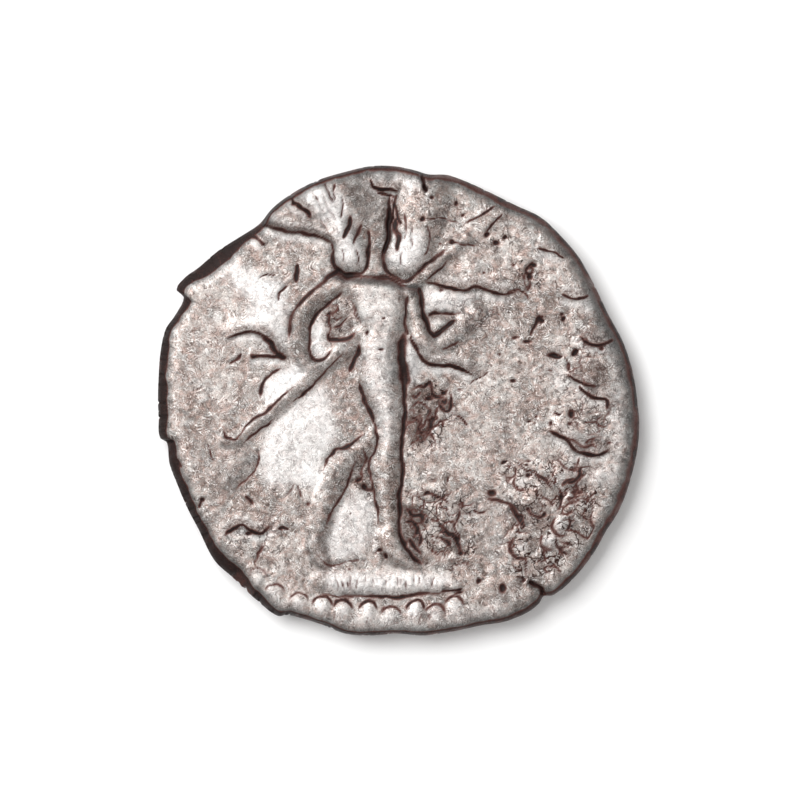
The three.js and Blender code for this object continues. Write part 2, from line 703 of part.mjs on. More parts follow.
class Thinner {
  constructor({ points, facets }) {
    this.points = points;
    this.facets = facets;
    this.alive = facets.length;
    this.around = points.map(() => new Set());
    this.quadrics = points.map(() => new Float64Array(10));
    this.ages = new Int32Array(points.length);
    this.queue = new Queue();
    facets.forEach((facet, index) => this.enter(facet, index));
    facets.forEach((facet) => facet.forEach((a, k) => this.offer(a, facet[(k + 1) % 3])));
  }

  normal([a, b, c]) {
    const { points } = this;
    return cross(minus(points[b], points[a]), minus(points[c], points[a]));
  }

  enter(facet, index) {
    const normal = this.normal(facet);
    const length = Math.sqrt(dot(normal, normal)) || 1;
    const [x, y, z] = normal.map((v) => v / length);
    const w = -dot([x, y, z], this.points[facet[0]]);
    const terms = [x * x, x * y, x * z, x * w, y * y, y * z, y * w, z * z, z * w, w * w];
    for (const point of facet) {
      this.around[point].add(index);
      terms.forEach((term, k) => { this.quadrics[point][k] += term * length; });
    }
  }

  costAt([x, y, z], a, b) {
    const q = this.quadrics[a].map((v, k) => v + this.quadrics[b][k]);
    return q[0] * x * x + 2 * q[1] * x * y + 2 * q[2] * x * z + 2 * q[3] * x
      + q[4] * y * y + 2 * q[5] * y * z + 2 * q[6] * y + q[7] * z * z + 2 * q[8] * z + q[9];
  }

  offer(a, b) {
    if (a > b) {
      return;
    }
    const p = this.points[a];
    const q = this.points[b];
    const middle = p.map((v, k) => (v + q[k]) / 2);
    const side = minus(p, q);
    const thrift = 1e-7 * dot(side, side);
    const places = [p, q, middle].map((at) => ({ at, cost: this.costAt(at, a, b) + thrift }));
    const best = places.reduce((least, one) => (one.cost < least.cost ? one : least));
    this.queue.push({ a, b, ...best, age: this.ages[a] + this.ages[b] });
  }

  neighbours(a) {
    const found = new Set();
    this.around[a].forEach((index) => this.facets[index].forEach((b) => found.add(b)));
    found.delete(a);
    return found;
  }

  // A collapse may not pinch the surface, fold a facet over or leave a sliver.
  allowed({ a, b, at }) {
    const shared = [...this.neighbours(a)].filter((c) => this.neighbours(b).has(c));
    if (shared.length !== 2) {
      return false;
    }
    return this.staysFair(a, b, at) && this.staysFair(b, a, at);
  }

  staysFair(moved, other, at) {
    return [...this.around[moved]].every((index) => {
      const facet = this.facets[index];
      if (facet.includes(other)) {
        return true;
      }
      const before = this.normal(facet);
      const [p, q, r] = facet.map((point) => (point === moved ? at : this.points[point]));
      const after = cross(minus(q, p), minus(r, p));
      const area = Math.sqrt(dot(after, after));
      const longest = Math.max(...[minus(q, p), minus(r, q), minus(p, r)].map((s) => dot(s, s)));
      const turned = dot(before, after) / (area * Math.sqrt(dot(before, before)) || 1);
      return area > 0.05 * longest && turned > 0.5;
    });
  }

  collapse({ a, b, at }) {
    this.points[a] = at;
    this.quadrics[b].forEach((v, k) => { this.quadrics[a][k] += v; });
    for (const index of this.around[b]) {
      const facet = this.facets[index];
      if (facet.includes(a)) {
        facet.forEach((point) => this.around[point].delete(index));
        this.facets[index] = [];
        this.alive -= 1;
      } else {
        facet[facet.indexOf(b)] = a;
        this.around[a].add(index);
      }
    }
    this.around[b] = new Set();
    this.ages[a] += 1;
    this.ages[b] += 1;
    this.neighbours(a).forEach((c) => this.offer(Math.min(a, c), Math.max(a, c)));
  }

  thin(wanted) {
    while (this.alive > wanted && this.queue.items.length > 0) {
      const edge = this.queue.pop();
      const current = edge.age === this.ages[edge.a] + this.ages[edge.b];
      const whole = this.around[edge.a].size > 0 && this.around[edge.b].size > 0;
      if (current && whole && this.allowed(edge)) {
        this.collapse(edge);
      }
    }
    return this.facets.filter((facet) => facet.length > 0);
  }
}

function coinGeometry() {
  const upperRim = (angle) => widest(angle) - upperInset(angle);
  const underRim = (angle) => widest(angle) - underInset(angle);
  const top = UNDER_RELIEF + FLAN;
  const body = new Body();
  const upperRing = body.addFace({
    rimRadius: upperRim,
    shapes: upperShapes(),
    base: top,
    outward: 1,
    limit: UPPER_RELIEF,
    roll: UPPER_ROLL,
  });
  const underRing = body.addFace({
    rimRadius: underRim,
    shapes: underShapes(),
    base: UNDER_RELIEF,
    outward: -1,
    limit: UNDER_RELIEF,
    roll: UNDER_ROLL,
  });
  const angles = upperRing.map((node) => body.points[node])
    .map(([x, y]) => Math.atan2(y, x) / DEGREE);
  const upperWaist = body.addRing(widest, top - UPPER_ROLL - EDGE_SLOPE, angles);
  const underWaist = body.addRing(widest, UNDER_RELIEF + UNDER_ROLL + EDGE_SLOPE, angles);
  body.addBand(underRing, underWaist);
  body.addBand(underWaist, upperWaist);
  body.addBand(upperWaist, upperRing);

  const facets = new Thinner(body).thin(FACETS);
  const geometry = new THREE.BufferGeometry();
  const corners = facets.flat().flatMap((point) => body.points[point]);
  geometry.setAttribute('position', new THREE.Float32BufferAttribute(corners, 3));
  geometry.computeBoundingBox();
  const middle = geometry.boundingBox.getCenter(new THREE.Vector3());
  geometry.translate(-middle.x, -middle.y, 0);
  geometry.computeVertexNormals();
  return geometry;
}

const group = new THREE.Group();
group.name = 'denarius';
const coin = new THREE.Mesh(coinGeometry(), silver);
coin.name = 'coin';
group.add(coin);

export default group;
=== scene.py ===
"""A worn silver denarius lying on a pale floor, seen from straight above."""

import bpy
import numpy as np
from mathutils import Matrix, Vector


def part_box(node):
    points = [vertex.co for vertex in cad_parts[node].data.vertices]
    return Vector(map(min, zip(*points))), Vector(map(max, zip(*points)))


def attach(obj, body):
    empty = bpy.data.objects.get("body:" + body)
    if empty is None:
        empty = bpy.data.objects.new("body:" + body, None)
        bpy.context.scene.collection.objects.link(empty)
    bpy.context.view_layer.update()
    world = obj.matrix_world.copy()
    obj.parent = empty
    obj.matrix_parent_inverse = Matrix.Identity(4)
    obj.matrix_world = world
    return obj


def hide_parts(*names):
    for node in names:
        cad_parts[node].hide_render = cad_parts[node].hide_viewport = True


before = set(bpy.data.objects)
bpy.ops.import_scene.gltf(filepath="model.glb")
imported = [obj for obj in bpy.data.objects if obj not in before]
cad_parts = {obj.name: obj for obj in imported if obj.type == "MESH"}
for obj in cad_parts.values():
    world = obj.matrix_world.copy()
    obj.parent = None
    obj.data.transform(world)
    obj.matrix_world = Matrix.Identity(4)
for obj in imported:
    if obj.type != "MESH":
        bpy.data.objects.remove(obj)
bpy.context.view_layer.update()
MM = 0.001
# Index of all nodes of a face.
EVERYWHERE = ...

# ---- sizes in mm: the coin is designed in mm and placed in the CAD box -------
# From the ground up: relief of the underside, flan between the fields, relief of the upper face.
UNDER_RELIEF = 0.42
FLAN = 1.0
UPPER_RELIEF = 0.28
# Each rim drops by its roll, over ROLL_WIDTH. The wall slopes for the height EDGE_SLOPE next to each rim.
ROLL_WIDTH = 0.5
UPPER_ROLL = 0.13
UNDER_ROLL = 0.1
EDGE_SLOPE = 0.3
# Counts: beads of the underside, and cells along each side of a face's grid.
UNDER_BEADS = 54
UPPER_GRID = 272
UNDER_GRID = 136

# Widest line of the edge, x and y.
EDGE_LINE = [
    (9.2, 0), (9.05, 1), (8.7, 2.15), (8.05, 3.4), (7.45, 4.65), (6.97, 5.5), (6.3, 6.3), (5.5, 7.05),
    (4.5, 7.53), (3.5, 8.03), (2.5, 8.48), (1.9, 8.68), (1.2, 8.7), (0.75, 8.83), (0, 9), (-1, 9.02),
    (-2, 8.8), (-3, 8.5), (-4, 8), (-4.8, 7.4), (-5.3, 6.8), (-6, 6.33), (-6.97, 5.7), (-7.6, 5.15),
    (-8.2, 4.7), (-8.48, 4.25), (-8.2, 4), (-8.53, 3.3), (-8.9, 2.75), (-9.1, 1.85), (-9.17, 0.9),
    (-9.17, -0.6), (-9.12, -1.4), (-8.85, -1.6), (-8.75, -2.4), (-8.45, -3.2), (-8.02, -4.2), (-7.6, -5),
    (-7, -6.15), (-6.3, -6.8), (-5.4, -7.65), (-4.6, -8.25), (-4.15, -8.22), (-3, -8.55), (-2, -8.93),
    (-1, -9), (0, -8.93), (1, -9), (2, -8.87), (3.2, -8.62), (4.2, -8.45), (5.1, -8.05), (5.45, -7.75),
    (5.6, -7.5), (5.95, -7.46), (6.6, -6.97), (7.57, -5.77), (8, -5), (8.45, -4.3), (8.75, -3.6),
    (8.97, -2.9), (9.2, -1.9), (9.28, -0.9),
]


# ---- numeric helpers --------------------------------------------------------
def smooth(t):
    c = np.clip(t, 0, 1)
    return c * c * (3 - 2 * c)


def arch(t):
    """Profile of a rounded form, from its foot at 0 to its crest at 1."""
    return 1 - (1 - np.clip(t, 0, 1)) ** 2


def mix(a, b, t):
    return a + (b - a) * t


def bell(distance, width):
    """1 at a distance of 0, falling off like a Gaussian."""
    return np.exp(-(distance / width) ** 2)


def tapered(along, ending):
    """1 along a line, falling to 0 over the given share at both ends."""
    return smooth(along / ending) * smooth((1 - along) / ending)


def curve(rows, steps=6):
    """Catmull-Rom curve through rows of (x, y) or (x, y, half-width)."""
    p = np.array(rows, float)
    q = np.vstack([p[0], p, p[-1]])
    points = []
    for i in range(len(p) - 1):
        a, b, c, d = q[i:i + 4]
        for t in np.arange(steps) / steps:
            linear = (c - a) * t
            square = (2 * a - 5 * b + 4 * c - d) * t * t
            cube = (3 * b - a - 3 * c + d) * t ** 3
            points.append(0.5 * (2 * b + linear + square + cube))
    return np.array(points + [p[-1]])


def lattice(x, y, cell, seed):
    """Smooth value noise from -1 to 1, with knots a cell apart."""
    table = np.random.RandomState(seed).uniform(-1, 1, (256, 256))
    u, v = x / cell + 100.0, y / cell + 100.0
    i, j = np.floor(u).astype(int), np.floor(v).astype(int)
    s, t = smooth(u - i), smooth(v - j)
    i, j = i % 255, j % 255
    low = mix(table[i, j], table[i + 1, j], s)
    high = mix(table[i, j + 1], table[i + 1, j + 1], s)
    return mix(low, high, t)


def rough(x, y, cell, seed, octaves=3):
    """Layers of value noise, each half as large as the one before."""
    return sum(lattice(x + 3.7 * k, y - 1.3 * k, cell / 2 ** k, seed + k) / 2 ** k for k in range(octaves))


def blurred(values, reach):
    """Mean over a square window, twice."""
    for axis in (0, 1, 0, 1):
        padded = np.pad(values, [(reach + 1, reach) if axis == k else (0, 0) for k in (0, 1)], mode="edge")
        total = np.cumsum(padded, axis)
        count = values.shape[axis]
        upper = np.take(total, range(2 * reach + 1, count + 2 * reach + 1), axis)
        values = (upper - np.take(total, range(count), axis)) / (2 * reach + 1)
    return values


# ---- one face as a height field ---------------------------------------------
class Face:
    """Heights of one face in mm over its field, with marks from 0 to 1 for dirt, painted shade, wear, painted
    highlights and the like.
    """

    def __init__(self, x, y, wander):
        self.cell = np.ptp(x) / (len(x) - 1)
        self.x = x + wander * (rough(x, y, 0.7, 11) + 0.6 * lattice(x, y, 0.2, 12))
        self.y = y + wander * (rough(x, y, 0.7, 31) + 0.6 * lattice(x, y, 0.2, 32))
        for name in ("height", "dirt_and_shade", "shine", "crust", "cracked", "shade"):
            setattr(self, name, np.zeros_like(x))

    def noise(self, part, cell, seed):
        return lattice(self.x[part], self.y[part], cell, seed)

    def near(self, points, reach):
        """The part of the face near a line: its mask, distance, side, share of the way and half-width."""
        low = points[:, :2].min(0) - reach
        high = points[:, :2].max(0) + reach
        part = (self.x > low[0]) & (self.x < high[0]) & (self.y > low[1]) & (self.y < high[1])
        x, y = self.x[part], self.y[part]
        distance = np.full(x.shape, 1e9)
        side, along, width = np.ones_like(x), np.zeros_like(x), np.zeros_like(x)
        for i, (a, b) in enumerate(zip(points[:-1], points[1:])):
            dx, dy = b[:2] - a[:2]
            t = np.clip(((x - a[0]) * dx + (y - a[1]) * dy) / (dx * dx + dy * dy), 0, 1)
            away = np.hypot(x - a[0] - t * dx, y - a[1] - t * dy)
            closer = away < distance
            distance[closer] = away[closer]
            turn = dx * (y - a[1]) - dy * (x - a[0])
            side[closer] = np.where(turn >= 0, 1, -1)[closer]
            along[closer] = ((i + t) / (len(points) - 1))[closer]
            if points.shape[1] > 2:
                width[closer] = mix(a[2], b[2], t)[closer]
        return part, distance, side, along, width

    def inside(self, rows, reach):
        """Depth inside a closed outline in mm, negative outside it."""
        points = curve(list(rows) + [rows[0]])
        part, distance, _, _, _ = self.near(points, reach)
        x, y = self.x[part], self.y[part]
        within = np.zeros(x.shape, bool)
        for (ax, ay), (bx, by) in zip(points[:-1, :2], points[1:, :2]):
            crosses = (ay > y) != (by > y)
            within ^= crosses & (x < (bx - ax) * (y - ay) / ((by - ay) or 1) + ax)
        return part, np.where(within, distance, -distance)

    def raise_to(self, part, height):
        """Never lowers the face."""
        self.height[part] = np.maximum(self.height[part], height)

    def mark(self, name, part, value):
        field = getattr(self, name)
        field[part] = np.maximum(field[part], value)

    def limb(self, rows, height, left=0.6, right=0.6):
        """A rounded form along a line, with the share of its half-width that slopes on each side."""
        points = curve(rows)
        part, distance, side, _, width = self.near(points, points[:, 2].max())
        inside = 1 - distance / np.maximum(width, 1e-6)
        self.raise_to(part, height * arch(inside / np.where(side > 0, left, right)))

    def strip(self, rows, height, left, right):
        """A form between two edges, as rows of (y, left x, right x), with the slope of each side in mm."""
        edges = curve(sorted(rows))
        part = (self.y > edges[0, 0]) & (self.y < edges[-1, 0])
        x, y = self.x[part], self.y[part]
        start, stop = (np.interp(y, edges[:, 0], edges[:, k]) for k in (1, 2))
        ends = smooth((y - edges[0, 0]) / 0.3) * smooth((edges[-1, 0] - y) / 0.3)
        self.raise_to(part, height * ends * arch((x - start) / left) * arch((stop - x) / right))

    def patch(self, rows, height, margin, fall=None):
        part, depth = self.inside(rows, 0)
        risen = height * arch(depth / margin)
        self.raise_to(part, risen if fall is None else risen * fall(self.x[part]))

    def area(self, name, rows, much, margin):
        """A mark over the inside of an outline, fading over its margin."""
        part, depth = self.inside(rows, margin)
        self.mark(name, part, much * smooth(0.5 + 0.5 * depth / margin))

    def ledge(self, rows, height, reach, dirt_and_shade=0.9, lip=0.5, foot_width=0.058, drop=0.12):
        """A step along a line: raised on the left of its direction, with painted highlights on its lip and
        beyond its foot, painted shade on its low side, and a dark foot of dirt and painted shade.
        """
        points = curve(rows)
        part, distance, side, along, _ = self.near(points, 2.2 * reach)
        ends = tapered(along, 0.15)
        across = distance * side
        front = smooth(1 - distance / drop)
        self.height[part] += height * ends * np.where(side > 0, bell(distance, reach), front)
        uneven = foot_width * (1 + 0.5 * self.noise(part, 0.35, 81))
        foot = bell(across + 0.04, uneven) * (1 + 0.3 * self.noise(part, 0.5, 91))
        # Painted shade on the low side of the step, and brown crust on its raised side.
        self.mark("shade", part, 0.48 * dirt_and_shade * ends * bell(across + 0.1, 0.14))
        self.mark("crust", part, 0.62 * dirt_and_shade * ends * bell(across - 0.15, 0.13))
        # A dark foot of dirt and painted shade.
        self.mark("dirt_and_shade", part, dirt_and_shade * ends * foot)
        # Painted highlights on the raised lip and on the low ground beyond the foot.
        self.mark("shine", part, lip * ends * bell(across - 0.24, 0.12))
        self.mark("shine", part, 1.6 * lip * ends * bell(across + 0.26, 0.12))

    def groove(self, rows, depth, width, dirt_and_shade=1.0, ending=0.1, skirt=0.35):
        """A furrow with a dark core of uneven width and a softer shade around it."""
        points = curve(rows)
        part, distance, _, along, _ = self.near(points, 5 * width)
        ends = tapered(along, ending)
        uneven = width * (1 + 0.4 * self.noise(part, 0.32, 81)) * (0.6 + 0.4 * ends)
        core = bell(distance, uneven)
        dark_core = core * (0.96 + 0.34 * self.noise(part, 0.5, 91))
        shade = skirt * bell(distance, 3.2 * width)
        self.height[part] -= depth * ends * core
        # A dark core of dirt and painted shade, with painted shade around it.
        self.mark("dirt_and_shade", part, dirt_and_shade * ends * dark_core)
        self.mark("shade", part, dirt_and_shade * ends * shade)

    def blob(self, cx, cy, rx, ry):
        """A soft spot with an uneven outline."""
        span = (np.abs(self.x - cx) < 3 * rx) & (np.abs(self.y - cy) < 3 * ry)
        x, y = self.x[span], self.y[span]
        spread = 1 + 0.4 * lattice(x, y, 0.7 * min(rx, ry) + 0.08, 93)
        spot = np.zeros_like(self.x)
        spot[span] = np.exp(-(((x - cx) / rx) ** 2 + ((y - cy) / ry) ** 2) * spread)
        return spot

    def swell(self, cx, cy, rx, ry, height):
        self.height += height * self.blob(cx, cy, rx, ry)

    def pit(self, cx, cy, rx, ry, depth=0.1, dirt_and_shade=1.3):
        trace = self.blob(cx, cy, rx, ry)
        self.height -= depth * trace
        self.mark("dirt_and_shade", EVERYWHERE, np.minimum(dirt_and_shade * trace, 1))

    def arc(self, cx, cy, radius, towards, dirt_and_shade, width=0.07):
        """Painted shade along a circle, thickest on the side that an angle points to."""
        away = np.abs(np.hypot(self.x - cx, self.y - cy) - radius)
        facing = np.cos(np.arctan2(self.y - cy, self.x - cx) - towards)
        self.mark("dirt_and_shade", EVERYWHERE, dirt_and_shade * smooth(0.3 + facing) * bell(away, width))

    def bead(self, cx, cy, radius, height):
        share = 1 - np.hypot(self.x - cx, self.y - cy) / radius
        self.raise_to(EVERYWHERE, height * arch(share))


# ---- the upper face: a striding nude figure with a spear --------------------
def far_leg(face):
    face.limb([
        (-0.9, -1.35, 0.3), (-1.5, -1.95, 0.44), (-2.1, -2.45, 0.52), (-2.4, -3, 0.55), (-2.75, -3.9, 0.48),
        (-2.98, -4.8, 0.4), (-3.12, -5.6, 0.38), (-2.85, -6.2, 0.3)
    ], 0.18, 0.9, 0.9)


def spear(face):
    face.limb([
        (-6.7, -1.5, 0.2), (-6.2, -1.5, 0.22), (-5.5, -0.95, 0.25), (-4.5, -0.12, 0.27), (-3.4, 0.85, 0.3),
        (-2.5, 1.65, 0.33), (-1.4, 2.5, 0.34), (-0.6, 3.1, 0.3)
    ], 0.12, 0.4, 0.5)
    face.limb([(0.5, 4.4, 0.27), (1.2, 5, 0.28), (1.95, 5.68, 0.27), (2.7, 6.3, 0.2)], 0.15, 0.35, 0.35)
    face.limb([(2.6, 6.35, 0.2), (3.2, 6.8, 0.42), (3.95, 7.4, 0.36)], 0.06, 0.25, 0.25)


def arms(face):
    face.limb([
        (-0.9, 4.3, 0.5), (-1.8, 4.5, 0.48), (-2.6, 4.35, 0.45), (-3.25, 3.85, 0.4), (-3.68, 3.2, 0.4),
        (-3.77, 2.5, 0.38), (-3.7, 1.9, 0.38), (-3.45, 1.4, 0.4), (-3, 1.3, 0.34)
    ], 0.17, 0.8, 0.8)
    face.limb([
        (0.4, 4.45, 0.3), (0.62, 3.6, 0.3), (0.78, 2.95, 0.34), (1, 2.35, 0.4), (1.5, 2.18, 0.38),
        (2, 2.38, 0.4), (2.6, 2.85, 0.4), (3.1, 3.4, 0.3)
    ], 0.17, 0.8, 0.8)


def torso_and_near_leg(face):
    face.strip([
        (4.75, -1.7, 0.5), (4.4, -2, 0.42), (4, -1.85, 0.36), (3.5, -1.7, 0.36), (2.9, -1.55, 0.2),
        (2.3, -1.55, 0.12), (1.5, -1.55, 0.02), (0.8, -1.5, 0.08), (0.2, -1.3, 0.14), (-0.4, -1.08, 0.18),
        (-0.95, -0.9, 0.16), (-1.5, -0.78, 0.06), (-2, -0.98, 0.06), (-2.5, -1.12, 0.12), (-3, -1.02, 0.12),
        (-3.6, -0.9, 0.06), (-4.2, -0.76, 0.02), (-4.8, -0.76, 0), (-5.3, -0.9, 0.2), (-5.8, -0.8, 0.48),
        (-6.2, -0.3, 0.85), (-6.5, 0.2, 1.1)
    ], 0.27, 0.75, 0.6)
    face.swell(-0.75, 3.7, 0.7, 0.6, 0.03)
    face.swell(-0.7, 1.6, 0.45, 0.8, 0.02)
    face.swell(-0.6, 2.65, 0.8, 0.25, -0.035)


def lobes(face):
    """Two worn lobes over the shoulders, the left one sinking into the field."""
    def sinking(x):
        return 0.25 + 0.75 * smooth((-0.9 - x) / 1.2)

    face.patch([
        (-5.5, 7), (-4.9, 6.76), (-4.2, 6.5), (-3.4, 6.43), (-2.75, 6.25), (-2.45, 5.9), (-2.1, 5.75),
        (-1.4, 5.9), (-0.9, 5.6), (-0.62, 5.2), (-0.52, 6), (-0.42, 7), (-0.3, 7.9), (-0.5, 9), (-2.5, 9.6),
        (-5, 9.2)
    ], 0.2, 0.22, sinking)
    face.limb([(-3.2, 8.2, 0.8), (-2.5, 7.2, 0.75), (-2, 6.3, 0.68), (-1.78, 5.6, 0.72)], 0.28, 1, 1)
    face.limb([(1.1, 9, 1.1), (0.95, 7.6, 1.05), (0.62, 6.5, 0.98), (0.42, 5.62, 0.98)], 0.28, 0.7, 1)


# Border beads: x, y, share of full height, and share of full wear with its painted shade and painted
# highlight.
BEADS = [
    (-5.35, -6.75, 0.4, 0.4), (-4.7, -7.35, 0.6, 0.6), (-3.78, -7.72, 0.7, 0.6), (-2.87, -7.85, 0.95, 0.85),
    (-2.08, -7.95, 1, 0.95), (-1.13, -8.02, 1, 1), (-0.25, -8.2, 0.75, 0.7), (0.67, -8.02, 1, 1),
    (1.45, -8.15, 0.8, 0.75), (2.15, -7.87, 0.9, 0.8),
]


def ground_and_beads(face):
    face.limb([
        (-3, -6.85, 0.34), (-2, -6.9, 0.45), (-0.5, -6.95, 0.46), (1, -6.97, 0.4), (2.2, -7.05, 0.3)
    ], 0.09, 0.8, 0.8)
    for cx, cy, rise, _ in BEADS:
        face.limb([(cx, cy, 0.38), (1.04 * cx, 1.04 * cy, 0.42), (1.07 * cx, 1.07 * cy, 0.34)],
                  0.08 * rise, 1, 1)


def bead_marks(face):
    """Painted shade over the inner side of each bead, and wear with a painted highlight on its crown."""
    for cx, cy, _, wear_shade_and_highlight in BEADS:
        face.arc(cx, cy, 0.36, 1.5, 0.95 * wear_shade_and_highlight, 0.065)
        face.mark("shine", EVERYWHERE, 0.8 * wear_shade_and_highlight * face.blob(cx, cy - 0.05, 0.27, 0.3))


def streaks(face):
    """Fine streaks down the ground line and out over the rim below the beads."""
    chance = np.random.RandomState(9)
    for _ in range(26):
        x, lean, much = chance.uniform(-2.7, 1.9), chance.uniform(-0.08, 0.08), chance.uniform(0.2, 0.6)
        start, stop = chance.uniform(-6.9, -6.55), chance.uniform(-7.35, -7.05)
        rows = [(x, start), (x + lean, (start + stop) / 2), (x + lean, stop)]
        face.groove(rows, 0.015, 0.04, much, 0.3, 0.1)
    for _ in range(34):
        x, much = chance.uniform(-4.2, 3.2), chance.uniform(0.15, 0.5)
        start, length = chance.uniform(-8.3, -8.1) + 0.03 * abs(x + 0.5), chance.uniform(0.2, 0.45)
        face.groove([(x, start), (1.04 * x, start - length)], 0.012, 0.035, much, 0.3, 0.1)


# Cloak folds and worn steps: points, height and reach of the raised side.
FOLDS = [
    ([(0.38, 2.6), (0.65, 2.15), (0.85, 1.8), (1.1, 1.52), (1.5, 1.41), (1.95, 1.43), (2.35, 1.33),
      (2.65, 1.15), (3.05, 0.8)], 0.13, 0.55),
    ([(-6.7, 2.4), (-6.1, 2.65), (-5.7, 2.7), (-5.3, 2.62), (-5, 2.48), (-4.78, 2.25), (-4.6, 1.95),
      (-4.2, 1.6)], 0.13, 0.6),
    ([(-5.7, 1.8), (-5, 1.73), (-4.2, 1.69)], 0.05, 0.2),
    ([(-5.5, 6.95), (-4.9, 6.76), (-4.5, 6.6), (-4.2, 6.5), (-3.5, 6.44), (-2.9, 6.3), (-2.3, 6.05)],
      0.06, 0.4),
    ([(0.95, 4.62), (1.5, 4.55), (2.1, 4.38), (2.5, 4.32), (3, 4.45), (3.4, 4.33), (4, 4.15), (4.8, 4.25)],
      0.1, 0.8),
    ([(-1.05, 8.6), (-0.95, 8.35), (-0.75, 8.2), (-0.3, 8.18), (0.15, 8.1)], 0.13, 0.5),
    ([(-4.15, 7.85), (-3.85, 7.55), (-3.45, 7.35), (-3.3, 7)], 0.1, 0.5),
    ([(-5.6, 6.3), (-5.35, 6.25), (-5.05, 5.95)], 0.04, 0.2),
    ([(-6.7, -5.2), (-6.2, -4.85), (-5.9, -4.75), (-5.6, -4.95), (-5.2, -5.05), (-4.9, -4.7)], 0.05, 0.35),
    ([(2.2, 3.28), (1.7, 3.3), (1.15, 3.25)], -0.07, 0.3),
]


def folds(face):
    for rows, height, reach in FOLDS:
        face.ledge(rows, height, reach, 1, 0.35)


# Shallow strokes along the right-hand border, worn and in no order.
STROKES = [
    ([(5.6, -1.05), (6.1, -1.2), (6.5, -1.5), (6.75, -1.75), (7.05, -1.95), (7.45, -2.03), (7.8, -2),
      (8.15, -1.75)], 0.15, 0.55),
    ([(6.9, 2.55), (7.2, 2.33), (7.6, 2.2), (8, 2.26), (8.3, 2.4)], 0.08, 0.4),
    ([(6.5, 1.05), (6.85, 0.78), (7.15, 0.68), (7.7, 0.6)], 0.09, 0.4),
    ([(6.9, 0.6), (7.2, 0.35), (7.55, 0.2), (8.05, 0.1), (8.1, -0.4)], 0.09, 0.25),
    ([(6.97, -2.1), (7, -2.4), (6.95, -2.95), (6.6, -3.05), (6.3, -3.35)], 0.06, 0.35),
    ([(6.4, -1.35), (6.75, -1.5), (7.2, -1.75), (7.5, -1.65), (7.7, -1.8)], 0.03, 0.2),
    ([(5.3, 5.9), (6, 5.75), (6.5, 5.4)], 0.05, 0.4),
    ([(6.2, 4.1), (6.9, 4), (7.4, 4.1)], 0.04, 0.3),
]


def strokes(face):
    for rows, height, reach in STROKES:
        face.ledge(rows, height, reach, min(1, 0.6 + 4 * height), 0.3, 0.04 + 0.18 * height)


# Soft rises and hollows of the field: x, y, two radii and height.
SWELLS = [
    (-4.1, -1.8, 1.2, 1.6, 0.06), (-4.7, 3.8, 1.1, 1, 0.06), (-4.5, 0.6, 0.6, 0.6, 0.05),
    (-1.8, -4.7, 0.8, 1.2, 0.05), (5.3, -4, 1.3, 0.9, 0.08), (3.9, -4.5, 0.7, 0.6, -0.05),
    (7.3, 1.3, 0.8, 0.9, 0.05), (0.55, 1.7, 0.25, 0.7, 0.08), (1.7, 3.9, 0.8, 0.45, 0.07),
    (4, -7.15, 0.5, 0.4, 0.07), (0.7, -0.6, 0.5, 1, 0.05), (-2.2, 3.1, 0.5, 0.5, 0.05),
]

# Round lumps of corrosion: x, y, radius, height and how dark the painted shade along their outline is.
KNOBS = [
    (4.75, -5.6, 0.42, 0.08, 0.8), (5.85, -5.35, 0.3, 0.07, 0.6), (6.3, -4.8, 0.36, 0.08, 0.7),
    (4.75, -3.15, 0.28, 0.03, 0.7), (4.65, -6.2, 0.24, 0.03, 0.3), (5.25, -3.6, 0.4, 0.04, 0),
    (5.5, -4.7, 0.4, 0.04, 0), (5.4, -6.1, 0.4, 0.03, 0), (6.8, -4.25, 0.45, 0.05, 0),
    (6.5, -5.6, 0.4, 0.03, 0), (7.9, -2.85, 0.4, 0.04, 0), (5.9, -3, 0.6, 0.04, 0),
]


def lumps(face):
    for cx, cy, rx, ry, height in SWELLS:
        face.swell(cx, cy, rx, ry, height)
    for cx, cy, radius, height, outlined in KNOBS:
        face.swell(cx, cy, radius, 0.85 * radius, height)
        # Painted shade along the lower left of each lump's outline.
        face.arc(cx, cy, 1.1 * radius, -2.6, outlined, 0.06)
